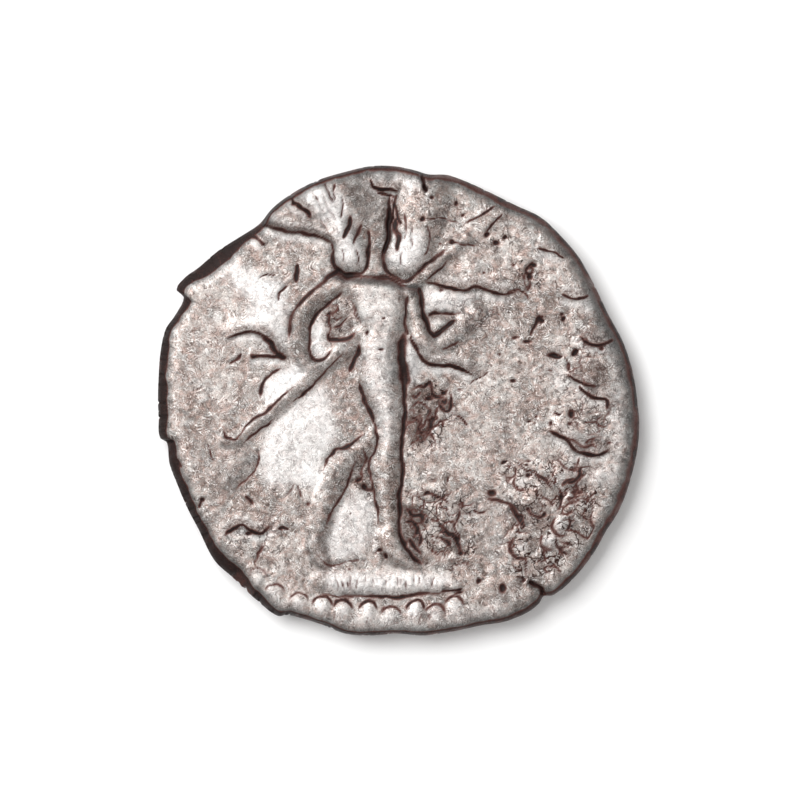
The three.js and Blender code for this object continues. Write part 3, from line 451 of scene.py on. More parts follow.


# Deep dark lines between the forms, and the splits of the flan: points, depth, width, and darkness of their
# dirt and painted shade.
CREVICES = [
    ([(-0.22, 8.1), (-0.27, 7.6), (-0.28, 7.1), (-0.36, 6.5), (-0.42, 6), (-0.52, 5.5), (-0.5, 5.1),
      (-0.2, 4.8), (0.2, 4.62), (0.5, 4.68), (0.9, 5), (1.25, 5.35), (1.6, 5.62), (2.1, 5.95)], 0.1, 0.1, 1),
    ([(-0.3, 7.5), (-0.33, 6.9), (-0.4, 6.2), (-0.5, 5.6)], 0.08, 0.15, 1),
    ([(-4.2, 2.2), (-4.13, 2.8), (-4.05, 3.3), (-3.75, 3.72), (-3.4, 4.05), (-3.05, 4.4), (-2.6, 4.8),
      (-2.3, 4.95), (-1.9, 4.8), (-1.4, 4.8), (-0.9, 4.75), (-0.3, 4.7), (0.1, 4.5), (0.5, 4.5)],
      0.07, 0.09, 0.9),
    ([(-2.5, 4.86), (-1.6, 4.68), (-0.6, 4.62), (0, 4.45), (0.5, 4.35), (0.9, 4.3)], 0.1, 0.2, 0.3),
    ([(0.36, 4.1), (0.33, 3.5), (0.3, 2.9), (0.42, 2.5)], 0.06, 0.09, 0.95),
    ([(0.15, 1.5), (0.22, 0.9), (0.26, 0), (0.25, -0.7), (0.15, -1.5), (0.12, -2.1), (0.2, -2.7),
      (0.12, -3.4), (0.05, -4.2), (0.02, -4.8), (0.15, -5.3), (0.4, -5.75), (0.7, -6.1), (1.15, -6.35)],
      0.09, 0.1, 1),
    ([(0.75, 4.5), (0.92, 4.1), (0.97, 3.6), (1.08, 3.15), (1.25, 2.72), (1.42, 2.55), (1.7, 2.72),
      (2, 2.95), (2.3, 3.15)], 0.09, 0.095, 1),
    ([(-2, 4.22), (-2.4, 3.9), (-2.9, 3.55), (-3.2, 3.2), (-3.36, 2.85), (-3.38, 2.4), (-3.38, 2),
      (-3.25, 1.68), (-3, 1.56), (-2.75, 1.7), (-2.5, 2.1)], 0.07, 0.08, 0.95),
    ([(0.9, 9.4), (0.95, 8.6), (1.12, 7.95)], 0.3, 0.09, 1),
    ([(6.2, -8.1), (5.62, -7.4), (5.5, -7.18), (5, -6.97)], 0.28, 0.09, 1),
    ([(-2.5, 6.2), (-2.48, 5.7), (-2.46, 5.3), (-2.25, 4.98), (-1.85, 4.86), (-1.45, 4.92), (-1.2, 5.15),
      (-1.1, 5.6), (-1.12, 6.4)], 0.07, 0.1, 0.9),
    ([(0, 8), (-0.06, 7.5), (0.03, 7.05), (0.15, 6.8)], 0.05, 0.06, 0.9),
    ([(-4.1, 7.55), (-3.8, 7.52), (-3.5, 7.25), (-3.4, 7.05)], 0.05, 0.09, 0.8),
]


def crevices(face):
    for rows, depth, width, dirt_and_shade in CREVICES:
        face.groove(rows, depth, 0.7 * width, 1.1 * dirt_and_shade, 0.08, 0.45)


# Fine dark lines and cracks: points, width, and darkness of their dirt and painted shade.
HAIRLINES = [
    ([(0.33, 2.75), (0.24, 2.3), (0.17, 1.8), (0.18, 1.3), (0.28, 0.8), (0.3, 0.4)], 0.26, 0.95),
    ([(-1.35, -1.75), (-1.2, -2.2), (-1.35, -2.7), (-1.3, -3.2)], 0.07, 0.6),
    ([(-1.42, 0.65), (-1.35, 0.2), (-1.15, -0.2), (-1, -0.6), (-0.85, -1), (-0.77, -1.4), (-0.82, -1.8),
      (-1, -2.1), (-1.12, -2.45), (-1.08, -2.8), (-0.93, -3.2), (-0.85, -3.7), (-0.76, -4.2), (-0.72, -4.6),
      (-0.78, -4.9), (-1.05, -5.2)], 0.07, 0.75),
    ([(-1.05, -1.1), (-1.4, -1.38), (-1.7, -1.62), (-2, -1.8), (-2.35, -1.87), (-2.6, -2.15), (-2.78, -2.5),
      (-2.95, -3)], 0.1, 0.85),
    ([(-1.5, -1.95), (-1.65, -2.4), (-1.75, -2.8), (-1.95, -3.2), (-2.2, -3.7), (-2.5, -4.2), (-2.7, -4.65),
      (-2.85, -5)], 0.08, 0.7),
    ([(-1.35, -3.3), (-1.15, -3.4), (-0.9, -3.38)], 0.09, 0.9),
    ([(-3.7, 0.82), (-4.2, 0.36), (-4.6, 0), (-5, -0.35), (-5.5, -0.65), (-5.8, -0.95), (-6.1, -1.3)],
      0.065, 0.9),
    ([(-1.75, 2.15), (-2.3, 1.6), (-2.7, 1.2), (-3, 0.85), (-3.35, 0.5), (-3.8, 0.12), (-4.5, -0.4)],
      0.07, 0.7),
    ([(-4.7, -0.55), (-5, -0.9), (-5.4, -1.2), (-5.75, -1.45), (-6, -1.8)], 0.08, 0.65),
    ([(1, 4.5), (1.4, 4.93), (1.75, 5.18), (2.05, 5.55)], 0.05, 0.85),
    ([(2.5, 6.72), (3.2, 7.15), (3.8, 7.5)], 0.055, 0.8),
    ([(3.32, 6.4), (3.6, 6.75), (4.1, 7.2)], 0.055, 0.8),
    ([(-0.05, 7.2), (-0.1, 6.6), (0.04, 6.2), (-0.08, 5.6)], 0.12, 0.9),
    ([(-0.18, 7.9), (-0.12, 7.5), (-0.2, 7.1), (-0.28, 6.6)], 0.05, 0.9),
    ([(-2.78, 8.4), (-2.66, 8), (-2.45, 7.5)], 0.06, 0.85),
    ([(-2.38, 8.4), (-2.45, 7.95), (-2.42, 7.6)], 0.06, 0.7),
    ([(-1.85, 7.2), (-1.82, 6.85), (-1.98, 6.45), (-2.1, 6.2)], 0.12, 0.9),
    ([(-1.4, 6.8), (-1.52, 6.4), (-1.72, 5.95)], 0.09, 0.75),
    ([(-1.12, 6.6), (-1.12, 6.1), (-1.2, 5.5)], 0.06, 0.75),
    ([(-3.3, 8.15), (-3, 7.6), (-2.75, 7.1), (-2.5, 6.6)], 0.05, 0.45),
    ([(-3.05, 7.05), (-2.8, 6.75), (-2.62, 6.45)], 0.05, 0.5),
    ([(-2.9, 8), (-2.65, 7.4), (-2.3, 6.9)], 0.05, 0.4),
    ([(-2.2, 7.9), (-2.15, 7.4), (-2.2, 7)], 0.05, 0.5),
    ([(-2.15, 6), (-2.05, 5.6), (-2.1, 5.3)], 0.05, 0.4),
    ([(-1.6, 5.9), (-1.5, 5.5), (-1.6, 5.2)], 0.05, 0.45),
    ([(0.25, 7.3), (0.3, 6.7), (0.2, 6)], 0.05, 0.45),
    ([(0.55, 6.9), (0.5, 6.3), (0.55, 5.8)], 0.05, 0.4),
    ([(1.15, 6.8), (1.22, 6.1), (1.05, 5.4)], 0.06, 0.5),
    ([(0.2, 5.8), (0.1, 5.4), (0.2, 5.1)], 0.05, 0.4),
    ([(-0.9, 8), (-0.4, 7.93), (0.1, 7.85)], 0.07, 0.7),
    ([(1.6, -7.33), (2.1, -7.25), (2.55, -7.22)], 0.08, 0.95),
    ([(-1.42, 2.3), (-1.52, 1.85), (-1.72, 1.45), (-1.92, 1)], 0.115, 0.9),
    ([(-2.75, 2.75), (-2.6, 2.42), (-2.2, 2.3), (-1.85, 2.4), (-1.5, 2.75)], 0.11, 1),
    ([(-1.5, 2.8), (-1.45, 3.2), (-1.65, 3.7), (-2.1, 3.95)], 0.05, 0.5),
    ([(-2.9, 3.2), (-2.6, 3.35), (-2.3, 3.1), (-2.05, 3.3)], 0.05, 0.7),
    ([(-2.5, 2.75), (-2.1, 2.9), (-1.85, 3.25)], 0.06, 0.7),
    ([(-4.4, 1.3), (-4.75, 1.1), (-5.08, 0.8), (-5.2, 0.45), (-5.25, 0)], 0.075, 0.85),
    ([(-6.65, -1), (-6.63, -1.3), (-6.45, -1.42), (-6.2, -1.42), (-6, -1.22), (-5.6, -0.82)], 0.065, 0.85),
    ([(-5.3, 2.52), (-5, 2.33), (-4.75, 2.05), (-4.56, 1.78), (-4.15, 1.56)], 0.15, 1),
    ([(0.5, 2.15), (0.8, 1.75), (1.1, 1.46), (1.5, 1.36), (1.95, 1.38), (2.35, 1.28), (2.65, 1.1), (3, 0.8)],
      0.1, 0.95),
    ([(-1.46, 0.75), (-1.4, 0.4), (-1.2, -0.15), (-1, -0.6), (-0.8, -1.1)], 0.1, 0.9),
    ([(0.39, 0.38), (0.8, 0.5), (1.1, 0.55), (1.27, 0.7), (1.32, 0.28), (1.57, 0.14), (2, 0.36)],
      0.07, 0.95),
    ([(1.5, 0.1), (1.7, -0.3), (1.95, -0.35), (2.05, 0.05), (2, 0.35)], 0.09, 0.95),
    ([(1.62, 0.1), (1.8, -0.05), (1.78, 0.2)], 0.09, 0.9),
    ([(0.5, -0.3), (0.85, -0.05), (1.2, -0.35), (1, -0.85)], 0.06, 0.8),
    ([(0.6, -1.2), (1, -1.3), (1.25, -0.9), (1.3, -0.45)], 0.07, 0.85),
    ([(0.45, -0.6), (0.8, -0.85), (0.65, -1.35)], 0.06, 0.8),
    ([(1.35, 0), (1.4, -0.6), (1.15, -1.3), (0.7, -1.65)], 0.06, 0.8),
    ([(0.5, 0.2), (0.75, 0.1), (0.9, 0.35)], 0.07, 0.75),
    ([(5.36, 3.35), (5.27, 2.95), (5.15, 2.7), (5.1, 2.45)], 0.06, 0.95),
    ([(5.55, 3.3), (5.47, 2.9)], 0.06, 0.9),
    ([(5.25, 5.4), (5.05, 5.2), (4.95, 4.95), (5.15, 4.85), (5.25, 5.1)], 0.08, 0.9),
    ([(5, 4.75), (5.05, 4.45), (4.9, 4.2)], 0.07, 0.8),
    ([(5.85, 1.85), (6.1, 1.72), (6.35, 1.8)], 0.09, 1),
    ([(6.35, 1.8), (6.55, 1.5), (6.6, 1.2)], 0.05, 0.7),
    ([(6.7, 1.75), (6.95, 1.95)], 0.1, 1),
    ([(0.25, -4), (0.5, -4.3), (0.9, -4.35), (0.95, -4.75)], 0.1, 0.9),
    ([(0.2, -4.7), (0.5, -4.6), (0.7, -4.9), (0.6, -5.3)], 0.09, 0.85),
    ([(0.35, -5.2), (0.6, -5.6), (0.95, -5.9)], 0.09, 0.85),
    ([(1.45, -4.75), (1.75, -4.85), (1.95, -5.1), (2.2, -5.1), (2.35, -5.5), (2.4, -5.85)], 0.1, 1),
    ([(1.5, -5.2), (1.8, -5.35), (2, -5.65)], 0.07, 0.9),
    ([(6.4, -3.1), (6.75, -3.05), (7, -2.75), (7.02, -2.3)], 0.09, 0.85),
    ([(6.9, -2.6), (7.3, -2.5), (7.8, -2.7)], 0.05, 0.55),
    ([(-2.65, 3.5), (-2.65, 3.1), (-2.5, 2.7)], 0.06, 0.7),
    ([(-1.7, 3.7), (-1.62, 3.4), (-1.5, 3.05)], 0.06, 0.5),
    ([(-6.55, 1.42), (-6.2, 1.58), (-5.95, 1.92)], 0.06, 0.7),
    ([(2.65, 0.55), (3.1, 0.85), (3.65, 1.25)], 0.05, 0.6),
    ([(1.6, 2), (2, 2.06), (2.4, 2.35)], 0.09, 0.5),
    ([(0.45, 2.6), (0.7, 2.1), (0.85, 1.85)], 0.05, 0.8),
    ([(1.15, 3.3), (1.6, 3.34), (2.1, 3.3), (2.6, 3.4)], 0.05, 0.6),
    ([(3.4, 3.55), (3.65, 3.42), (4, 3.35)], 0.05, 0.55),
    ([(-3.87, 5.3), (-3.84, 4.9), (-3.9, 4.5)], 0.1, 0.8),
    ([(-4.62, 3.8), (-4.55, 4.15), (-4.2, 4.5)], 0.07, 0.8),
    ([(-5.4, 4.72), (-5, 4.88), (-4.6, 4.85)], 0.05, 0.65),
    ([(-5.3, -1.7), (-5.3, -2.3), (-5.5, -2.7), (-5.85, -3.05), (-6.35, -3.65)], 0.06, 0.55),
    ([(-4.4, -3.75), (-4.1, -3.45), (-3.88, -3.12)], 0.045, 0.4),
    ([(-3.88, -3.12), (-3.75, -3.4), (-3.58, -3.75)], 0.05, 0.45),
    ([(-5.85, -3.65), (-5.7, -3.75), (-5.45, -3.95)], 0.06, 0.8),
    ([(-7.3, -1.6), (-7.2, -2), (-7.05, -2.3)], 0.05, 0.55),
    ([(-7.4, -3.7), (-7.55, -3.85), (-7.68, -4.15)], 0.06, 0.9),
    ([(-8.5, -2.2), (-8.2, -2.6)], 0.05, 0.8),
    ([(-4.65, -4.95), (-4.4, -4.88), (-4.2, -4.95)], 0.07, 0.85),
    ([(-5.5, -6.35), (-5.35, -5.9), (-5.05, -5.5)], 0.07, 0.65),
    ([(-3.25, -5.6), (-2.95, -6.05), (-2.65, -6.35), (-2.1, -6.22), (-1.4, -6.15), (-1, -6.35)], 0.06, 0.5),
    ([(-3.2, -7.3), (-2.5, -7.45), (-1.5, -7.45), (0, -7.5), (1.4, -7.38), (2.4, -7.32)], 0.1, 0.6),
    ([(0.45, -3.62), (1.1, -3.6), (1.7, -3.75), (2, -3.95)], 0.05, 0.75),
    ([(2.4, -3.9), (2.35, -4.4), (2.2, -4.8), (2.38, -5.2), (2.25, -5.6)], 0.05, 0.75),
    ([(1.4, -5.05), (1.8, -5), (2.15, -5.2), (2.3, -5.6), (2.5, -5.95)], 0.08, 0.95),
    ([(0.6, -4.9), (0.85, -5.2), (0.75, -5.6)], 0.09, 0.85),
    ([(2.1, -0.5), (2.45, -0.65), (2.7, -1)], 0.06, 0.7),
    ([(3.2, -3.75), (3.8, -3.82), (4.35, -3.95), (4.55, -4.3), (4.7, -4.65), (4.9, -4.95)], 0.09, 0.8),
    ([(4.55, -4.4), (4.75, -4.5), (4.9, -4.95)], 0.055, 1),
    ([(4.9, -4.05), (5.1, -4.35), (5.45, -4.45), (5.6, -4.3)], 0.06, 0.8),
    ([(5, -6.95), (4.9, -6.5), (4.88, -6.1), (4.55, -5.95), (4.35, -5.65), (4.45, -5.3)], 0.055, 0.8),
    ([(6.62, -4.5), (6.65, -4.75), (6.55, -5)], 0.06, 0.9),
    ([(6.1, -5.2), (6.15, -5.6), (6.7, -6)], 0.06, 0.9),
    ([(4.5, -2.4), (4.9, -2.7), (5.3, -2.75), (5.8, -3.1), (6.1, -3.6)], 0.06, 0.85),
    ([(6.2, -3.3), (6.3, -3.7), (6.2, -4.2)], 0.06, 0.85),
    ([(7.2, -1.72), (7.35, -1.5), (7.6, -1.4)], 0.055, 0.8),
    ([(7.05, -0.9), (7.3, -0.8), (7.6, -0.85), (8.1, -1.05)], 0.05, 0.65),
    ([(6, -0.48), (6.25, -0.6)], 0.05, 0.8),
    ([(6.48, 1.55), (6.5, 1.3), (6.7, 1)], 0.06, 0.7),
    ([(5.1, 2.75), (5.3, 2.95), (5.35, 3.25)], 0.05, 0.7),
    ([(4.9, 4.5), (4.95, 4.9), (5.15, 5.1), (5.3, 4.85)], 0.06, 0.75),
    ([(3.4, 4.3), (4, 4.1), (4.5, 4.25), (4.9, 4.1), (5, 3.7)], 0.06, 0.6),
    ([(2, 6.25), (2.5, 6.02), (3.1, 5.97)], 0.05, 0.65),
    ([(1, 6.9), (1.8, 6.95), (2.4, 6.85)], 0.05, 0.5),
    ([(2.9, -4.05), (3.1, -4.25), (3.5, -4.3)], 0.05, 0.75),
    ([(1.9, -2.9), (1.85, -3.3)], 0.05, 0.6),
]


def hairlines(face):
    for rows, width, dirt_and_shade in HAIRLINES:
        face.groove(rows, 0.03, 0.66 * width, min(1.15, 1.3 * dirt_and_shade), 0.25, 0.5)


# Pits with dirt in them: x, y and two radii.
PITS = [
    (3.65, -3.55, 0.14, 0.12), (4, -7.15, 0.13, 0.2), (6.63, -0.5, 0.1, 0.16), (6.8, 1.83, 0.14, 0.1),
    (6, 1.78, 0.2, 0.08), (5.42, 3.12, 0.1, 0.12), (5.55, 3.04, 0.08, 0.06), (4.95, 2.28, 0.14, 0.06),
    (5.2, 5.2, 0.12, 0.08), (5.1, 4.75, 0.1, 0.1), (0.95, 6.95, 0.11, 0.08), (3.45, 6.35, 0.1, 0.1),
    (3.78, 6.05, 0.1, 0.08), (4.1, 6.28, 0.07, 0.07), (2.12, 6.15, 0.09, 0.07), (4.1, -2.32, 0.1, 0.06),
    (1.28, 7.77, 0.08, 0.05), (2.25, 7.6, 0.06, 0.08), (-1.2, 2.64, 0.07, 0.1), (-0.62, 2, 0.12, 0.04),
    (-0.48, -5.95, 0.06, 0.1), (-0.65, -5.75, 0.1, 0.05), (-1.5, -3.08, 0.12, 0.08),
    (-1.22, -3.3, 0.08, 0.1), (3.1, -6.95, 0.1, 0.1), (2.35, -7.35, 0.16, 0.05), (5, -2.9, 0.08, 0.08),
    (6.3, -3.72, 0.08, 0.07), (2.3, -5.3, 0.1, 0.12), (2.4, -5.85, 0.09, 0.07), (1.12, -3.55, 0.08, 0.06),
    (4.95, -4.2, 0.06, 0.08), (-5.7, -5.1, 0.12, 0.05), (5.05, -0.8, 0.08, 0.04), (4.4, 0.75, 0.08, 0.05),
    (5.85, -0.85, 0.04, 0.08), (6.35, 3.15, 0.06, 0.07), (6.3, 3.35, 0.05, 0.06), (1.75, 0.35, 0.1, 0.06),
    (1.12, 0.6, 0.09, 0.07), (1.2, 0.1, 0.12, 0.06), (4.85, -6.9, 0.07, 0.07), (-7.5, -3.78, 0.09, 0.08),
    (5.6, -4.35, 0.08, 0.08),
]


def pits(face):
    for row in PITS:
        face.pit(*row)


# Painted highlights and silver worn bright: outline and share.
BRIGHT_AREAS = [
    ([(-6.4, 5.4), (-5.2, 4.9), (-4.4, 4.4), (-4.25, 3.4), (-4.2, 2.4), (-4.5, 2.2), (-5, 2.75), (-5.8, 2.9),
      (-5.7, 3.8), (-6.4, 4.6)], 0.75),
    ([(-5.1, 0.3), (-5.05, 0.7), (-4.5, 1.15), (-3.7, 1.5), (-3.6, 0.95), (-4.3, 0.35), (-4.8, -0.1)], 1),
    ([(-4.7, -0.7), (-3.7, 0.1), (-2.9, 0.5), (-2.5, -0.3), (-2.3, -1.5), (-2.8, -2.1), (-3, -3.3),
      (-3.9, -3.2), (-5, -3.1), (-5.2, -2), (-5, -1.2)], 0.75),
    ([(-3.8, -2.2), (-3.1, -2.2), (-3.1, -3.2), (-3.8, -3.1)], 1),
    ([(-2.6, -4.7), (-1.9, -3.6), (-1, -3.7), (-0.9, -4.8), (-1.3, -5.8), (-2.5, -6.05), (-2.9, -5.4)], 0.6),
    ([(-2.7, -6.6), (0, -6.65), (1.8, -6.75), (1.5, -7.2), (0, -7.3), (-2.5, -7.25)], 0.8),
    ([(-2.35, 5.3), (-1.8, 5.2), (-1.25, 5.5), (-1.6, 6.3), (-1.95, 6.9), (-2.1, 7.8), (-3, 8.3), (-3.7, 8),
      (-3.2, 7.2), (-2.4, 6.5)], 0.8),
    ([(-0.35, 5.3), (0.2, 5), (0.8, 5.2), (1.1, 5.7), (1, 6.4), (0.3, 6.5), (-0.2, 6)], 0.8),
    ([(-1, 8.9), (-0.9, 8.5), (-0.2, 8.4), (0.7, 8), (0.8, 8.7), (0, 8.9)], 0.45),
    ([(-1.5, 4.3), (-0.3, 4.5), (0.1, 3.8), (0, 2.8), (-0.8, 2.7), (-1.3, 3)], 0.35),
    ([(-1.3, 2.5), (-0.2, 2.5), (-0.1, 1), (-0.1, -1.3), (-0.7, -1.5), (-0.9, -0.5), (-1.2, 0.6)], 0.45),
    ([(1.1, 4.4), (2.2, 4.2), (3, 4.1), (2.3, 3.5), (1.2, 3.5)], 0.7),
    ([(0.4, 2.1), (0.75, 1.7), (0.9, 1.3), (0.6, 0.7), (0.4, 1)], 0.95),
    ([(-3.3, 2.9), (-3, 3), (-2.8, 2.2), (-2.9, 1.8), (-3.25, 1.9)], 0.8),
    ([(8, 3.3), (8.5, 2), (8.65, 0.5), (8.65, -1.5), (8.4, -2.9), (8.2, -1), (8.2, 1), (7.8, 2.6)], 0.35),
    ([(7.4, -2.75), (8.4, -2.6), (8.5, -3.1), (7.6, -3)], 0.6),
    ([(7, 4.1), (7.6, 4), (7.8, 3.5), (7.2, 3.4)], 0.5),
    ([(-8, 5), (-7, 5), (-6, 5.8), (-6.6, 4.6), (-7.6, 4.2)], 0.2),
    ([(-4.5, -8), (-2, -8.3), (1, -8.4), (4, -7.8), (3.5, -8.3), (0, -8.7), (-3, -8.4)], 0.4),
    ([(5.9, 1.4), (6.4, 1.2), (6.5, 0.3), (6, 0.6)], 0.35),
]

# Small painted highlights, on worn crowns and on the field: x, y and radius.
BRIGHT_SPOTS = [
    (5.85, -5.35, 0.22), (6.3, -4.8, 0.26), (4.75, -5.65, 0.2), (-1.75, 5.6, 0.35), (-2.3, 6.9, 0.4),
    (4.75, -3.15, 0.2), (-4.5, 0.4, 0.5), (-4.6, 3.4, 0.5),
]


def bright_areas(face):
    # Painted highlights, partly wear, over areas and small spots.
    for rows, much in BRIGHT_AREAS:
        face.area("shine", rows, much, 0.3)
    for cx, cy, radius in BRIGHT_SPOTS:
        face.mark("shine", EVERYWHERE, 0.8 * face.blob(cx, cy, radius, radius))


# Where a brown crust lies on the silver: outline and share.
STAINED_AREAS = [
    ([(0.4, 0.45), (0.9, 0.6), (1.25, 0.65), (1.15, 0), (1.45, -0.75), (1.15, -1.5), (0.7, -1.75),
      (0.35, -1.5), (0.38, -0.5)], 0.95),
    ([(1.5, 0.3), (1.8, 0.5), (2, 0.2), (1.95, -0.35), (1.6, -0.4), (1.45, -0.1)], 0.9),
    ([(0.12, -3.9), (1, -4), (1.15, -4.7), (0.75, -5), (0.9, -5.6), (1.25, -6.2), (0.8, -6.2), (0.3, -5.6),
      (0.05, -4.9)], 1),
    ([(0.8, -5), (1.3, -5.2), (1.5, -5.9), (1.2, -6.2)], 0.4),
    ([(1.4, -4.7), (2.2, -4.8), (2.55, -5.8), (1.8, -5.6)], 0.75),
    ([(-2.8, 3.6), (-2, 3.9), (-1.65, 3.2), (-1.9, 2.55), (-2.6, 2.5)], 0.6),
    ([(-1.7, -1.9), (-1.2, -2), (-1.1, -2.8), (-1, -3.5), (-1.6, -3.2)], 0.55),
    ([(-2.3, 8.7), (-1.1, 8.8), (-0.95, 8.1), (-0.4, 7.6), (-0.5, 6.2), (-1, 6.6), (-1.7, 7.6)], 0.35),
    ([(4.4, -3.9), (5.7, -4), (5.8, -4.8), (5, -4.8)], 0.65),
    ([(4.2, -2.7), (6.5, -2.6), (7.5, -3.5), (7.3, -5.5), (5.8, -6.6), (4.3, -6), (4.1, -4)], 0.2),
    ([(0.3, -3.4), (2.6, -3.6), (3, -5), (2.8, -6.2), (1, -6.3)], 0.2),
    ([(5, -6.3), (5.8, -6.4), (5.7, -6.9), (5.1, -6.9)], 0.4),
    ([(-3.15, -6.5), (-2.75, -6.5), (-2.75, -6.8), (-3.1, -6.8)], 0.6),
    ([(-5.5, -5.9), (-4.9, -5.9), (-4.9, -6.4), (-5.4, -6.4)], 0.45),
    ([(-0.9, -5.2), (-0.2, -5.2), (-0.2, -5.9), (-0.8, -5.9)], 0.4),
    ([(6.9, 2.75), (8.3, 2.65), (8.2, 2.2), (7.2, 2.2)], 0.65),
    ([(6.5, 1.5), (7.9, 1.4), (8.1, 0.3), (7.2, 0.5)], 0.6),
    ([(5.9, -0.95), (6.6, -1.3), (7.6, -1.6), (8, -1.8), (7.2, -2), (6.3, -1.4)], 0.65),
    ([(-6.6, -2.4), (-5.5, -2.4), (-5.8, -3), (-6.4, -3.2)], 0.25),
    ([(3.6, -6.9), (4.4, -6.9), (4.4, -7.5), (3.6, -7.5)], 0.3),
]


def stained_areas(face):
    for rows, much in STAINED_AREAS:
        face.area("crust", rows, much, 0.15)


def thin_lines(values, cell, width):
    """Lines of even width in mm where a smooth field passes through zero."""
    slope = np.hypot(*np.gradient(values)) / cell
    return bell(values, slope * width + 0.01)


# Corroded ground: outline and share.
CORRODED_AREAS = [
    ([(4.1, -2.4), (6.5, -2.3), (7.7, -3.3), (7.7, -5), (6.2, -6.7), (4.6, -6.9), (4, -5.6), (4.3, -4.2)],
      1),
    ([(0.2, -3.4), (2.6, -3.5), (3.1, -4.6), (2.9, -6.3), (1, -6.4), (0.2, -4.8)], 0.9),
    ([(0.4, 0.5), (1.3, 0.8), (2.1, 0.6), (2.1, -0.5), (1.4, -1.7), (0.4, -1.8)], 1),
    ([(6.3, 3), (8.2, 2.8), (8.5, 0), (8.2, -2.1), (6, -1.3), (6.2, 1)], 0.55),
    ([(4.5, 5.7), (5.6, 5.4), (5.5, 4.2), (4.6, 4.1)], 0.8),
    ([(2.9, 6.6), (4.5, 6.6), (4.4, 5.8), (3, 5.8)], 0.5),
    ([(-2.8, 3.6), (-2, 3.9), (-1.65, 3.2), (-1.9, 2.5), (-2.7, 2.5)], 0.9),
    ([(-6.9, -4.4), (-4.6, -4.5), (-4.5, -6.7), (-6.2, -6.2)], 0.45),
    ([(2, 3.9), (3.6, 3.9), (3.6, 2.4), (2.2, 2.6)], 0.5),
    ([(0.3, 8), (2.6, 7.9), (2.6, 6.2), (1.2, 6.3)], 0.35),
    ([(-1.8, -1.9), (-0.9, -2), (-0.9, -3.6), (-1.7, -3.4)], 0.7),
]


def corroded_areas(face):
    """Lumpy ground with a net of thin cracks."""
    share = 0.14 * smooth((face.x + 3) / 6)
    for rows, much in CORRODED_AREAS:
        part, depth = face.inside(rows, 0.4)
        share[part] = np.maximum(share[part], much * smooth(0.5 + depth / 0.8))
    face.mark("cracked", EVERYWHERE, share)
    x = face.x + 0.2 * rough(face.x, face.y, 0.4, 41)
    y = face.y + 0.2 * rough(face.x, face.y, 0.4, 42)
    crack = thin_lines(lattice(x, y, 0.6, 43), face.cell, 0.05) * smooth(0.6 + 1.5 * lattice(x, y, 1, 44))
    fine = thin_lines(lattice(x, y, 0.35, 45), face.cell, 0.035) * smooth(0.2 + 2 * lattice(x, y, 0.8, 46))
    crack = np.maximum(crack, fine)
    face.height += share * (0.035 * rough(x, y, 0.55, 47) - 0.04 * crack)
    face.mark("dirt_and_shade", EVERYWHERE, 0.72 * share * crack)


# Painted grey shade over the ground: outline, share and margin.
SHADED_AREAS = [
    ([(-2.3, 8.9), (-1.05, 8.9), (-0.95, 8.2), (-0.45, 7.9), (-0.4, 6.6), (-0.55, 5.6), (-0.95, 5.4),
      (-1, 6.4), (-1.4, 7.1), (-1.9, 7.8)], 0.34, 0.35),
    ([(-2.5, 4.95), (0.6, 4.6), (0.6, 4.2), (-0.3, 4.4), (-1.5, 4.5), (-2.3, 4.6)], 0.8, 0.25),
    ([(-0.02, 3.4), (0.3, 3.3), (0.3, 2), (0.3, -0.4), (0.12, -0.4), (-0.12, 1.6)], 0.28, 0.25),
    ([(3.3, -3.8), (4.4, -3.9), (4.6, -4.5), (4.1, -4.5), (3.4, -4.3)], 0.2, 0.3),
    ([(5.4, -1.2), (6.4, -1.4), (7, -2), (6.4, -1.9), (5.5, -1.7)], 0.2, 0.3),
    ([(-4, 7.5), (-3.4, 7.2), (-3.3, 6.7), (-3.7, 6.9)], 0.25, 0.25),
    ([(-6.2, 2.6), (-5, 2.4), (-4.7, 1.9), (-5.4, 2), (-6.2, 2.2)], 0.15, 0.3),
    ([(1.1, 1.35), (2.3, 1.25), (2.9, 0.9), (2, 0.8), (1.2, 1)], 0.15, 0.3),
    ([(-5.9, -1.7), (-5.4, -1.8), (-5.35, -2.4), (-5.7, -3), (-6.3, -3.6), (-6.9, -3.5), (-6.3, -2.6)],
      0.42, 0.3),
    ([(1.5, -3.6), (3.6, -3.4), (4, -5.5), (3, -6.4), (1.2, -6.4)], 0.1, 0.5),
]


def shaded_areas(face):
    for rows, much, margin in SHADED_AREAS:
        # Painted grey shade.
        face.area("shade", rows, 1.2 * much, margin)


# Limbs darkened with painted shade and with less of the bright mark: points and reach.
SHADED_LIMBS = [
    ([(-2.9, 4.2), (-3.6, 3.4), (-3.77, 2.5), (-3.65, 1.6)], 0.4),
    ([(-6.2, -1.3), (-4.5, -0.12), (-2.6, 1.5), (-1.5, 2.4)], 0.28),
    ([(-1.9, -2), (-2.4, -2.9), (-2.75, -3.9), (-3, -4.9), (-3.1, -5.6)], 0.5),
    ([(0.9, 4.7), (1.9, 5.6)], 0.25),
    ([(1.4, 2.2), (2, 2.4), (2.7, 3)], 0.4),
]


def shaded_limbs(face):
    for rows, reach in SHADED_LIMBS:
        part, distance, _, _, _ = face.near(curve(rows), reach)
        share = smooth(2 * (1 - distance / reach))
        # Painted shade: less painted highlight, and brown and grey laid over the limbs.
        face.shine[part] *= 1 - 0.85 * share
        face.mark("crust", part, 0.2 * share)
        face.mark("shade", part, 0.32 * share)


def scattered_pits(face):
    """Small pits of corrosion, most on the right-hand side."""
    chance = np.random.RandomState(5)
    for _ in range(90):
        cx, cy = chance.uniform(-8, 8.4), chance.uniform(-7.8, 7.8)
        size, keep = chance.uniform(0.04, 0.08), chance.uniform(-7, 3)
        if np.hypot(cx, cy) < 8.3 and keep < cx - 0.4 * cy:
            face.pit(cx, cy, size * chance.uniform(0.7, 1.8), size, 0.03, chance.uniform(0.4, 0.9))


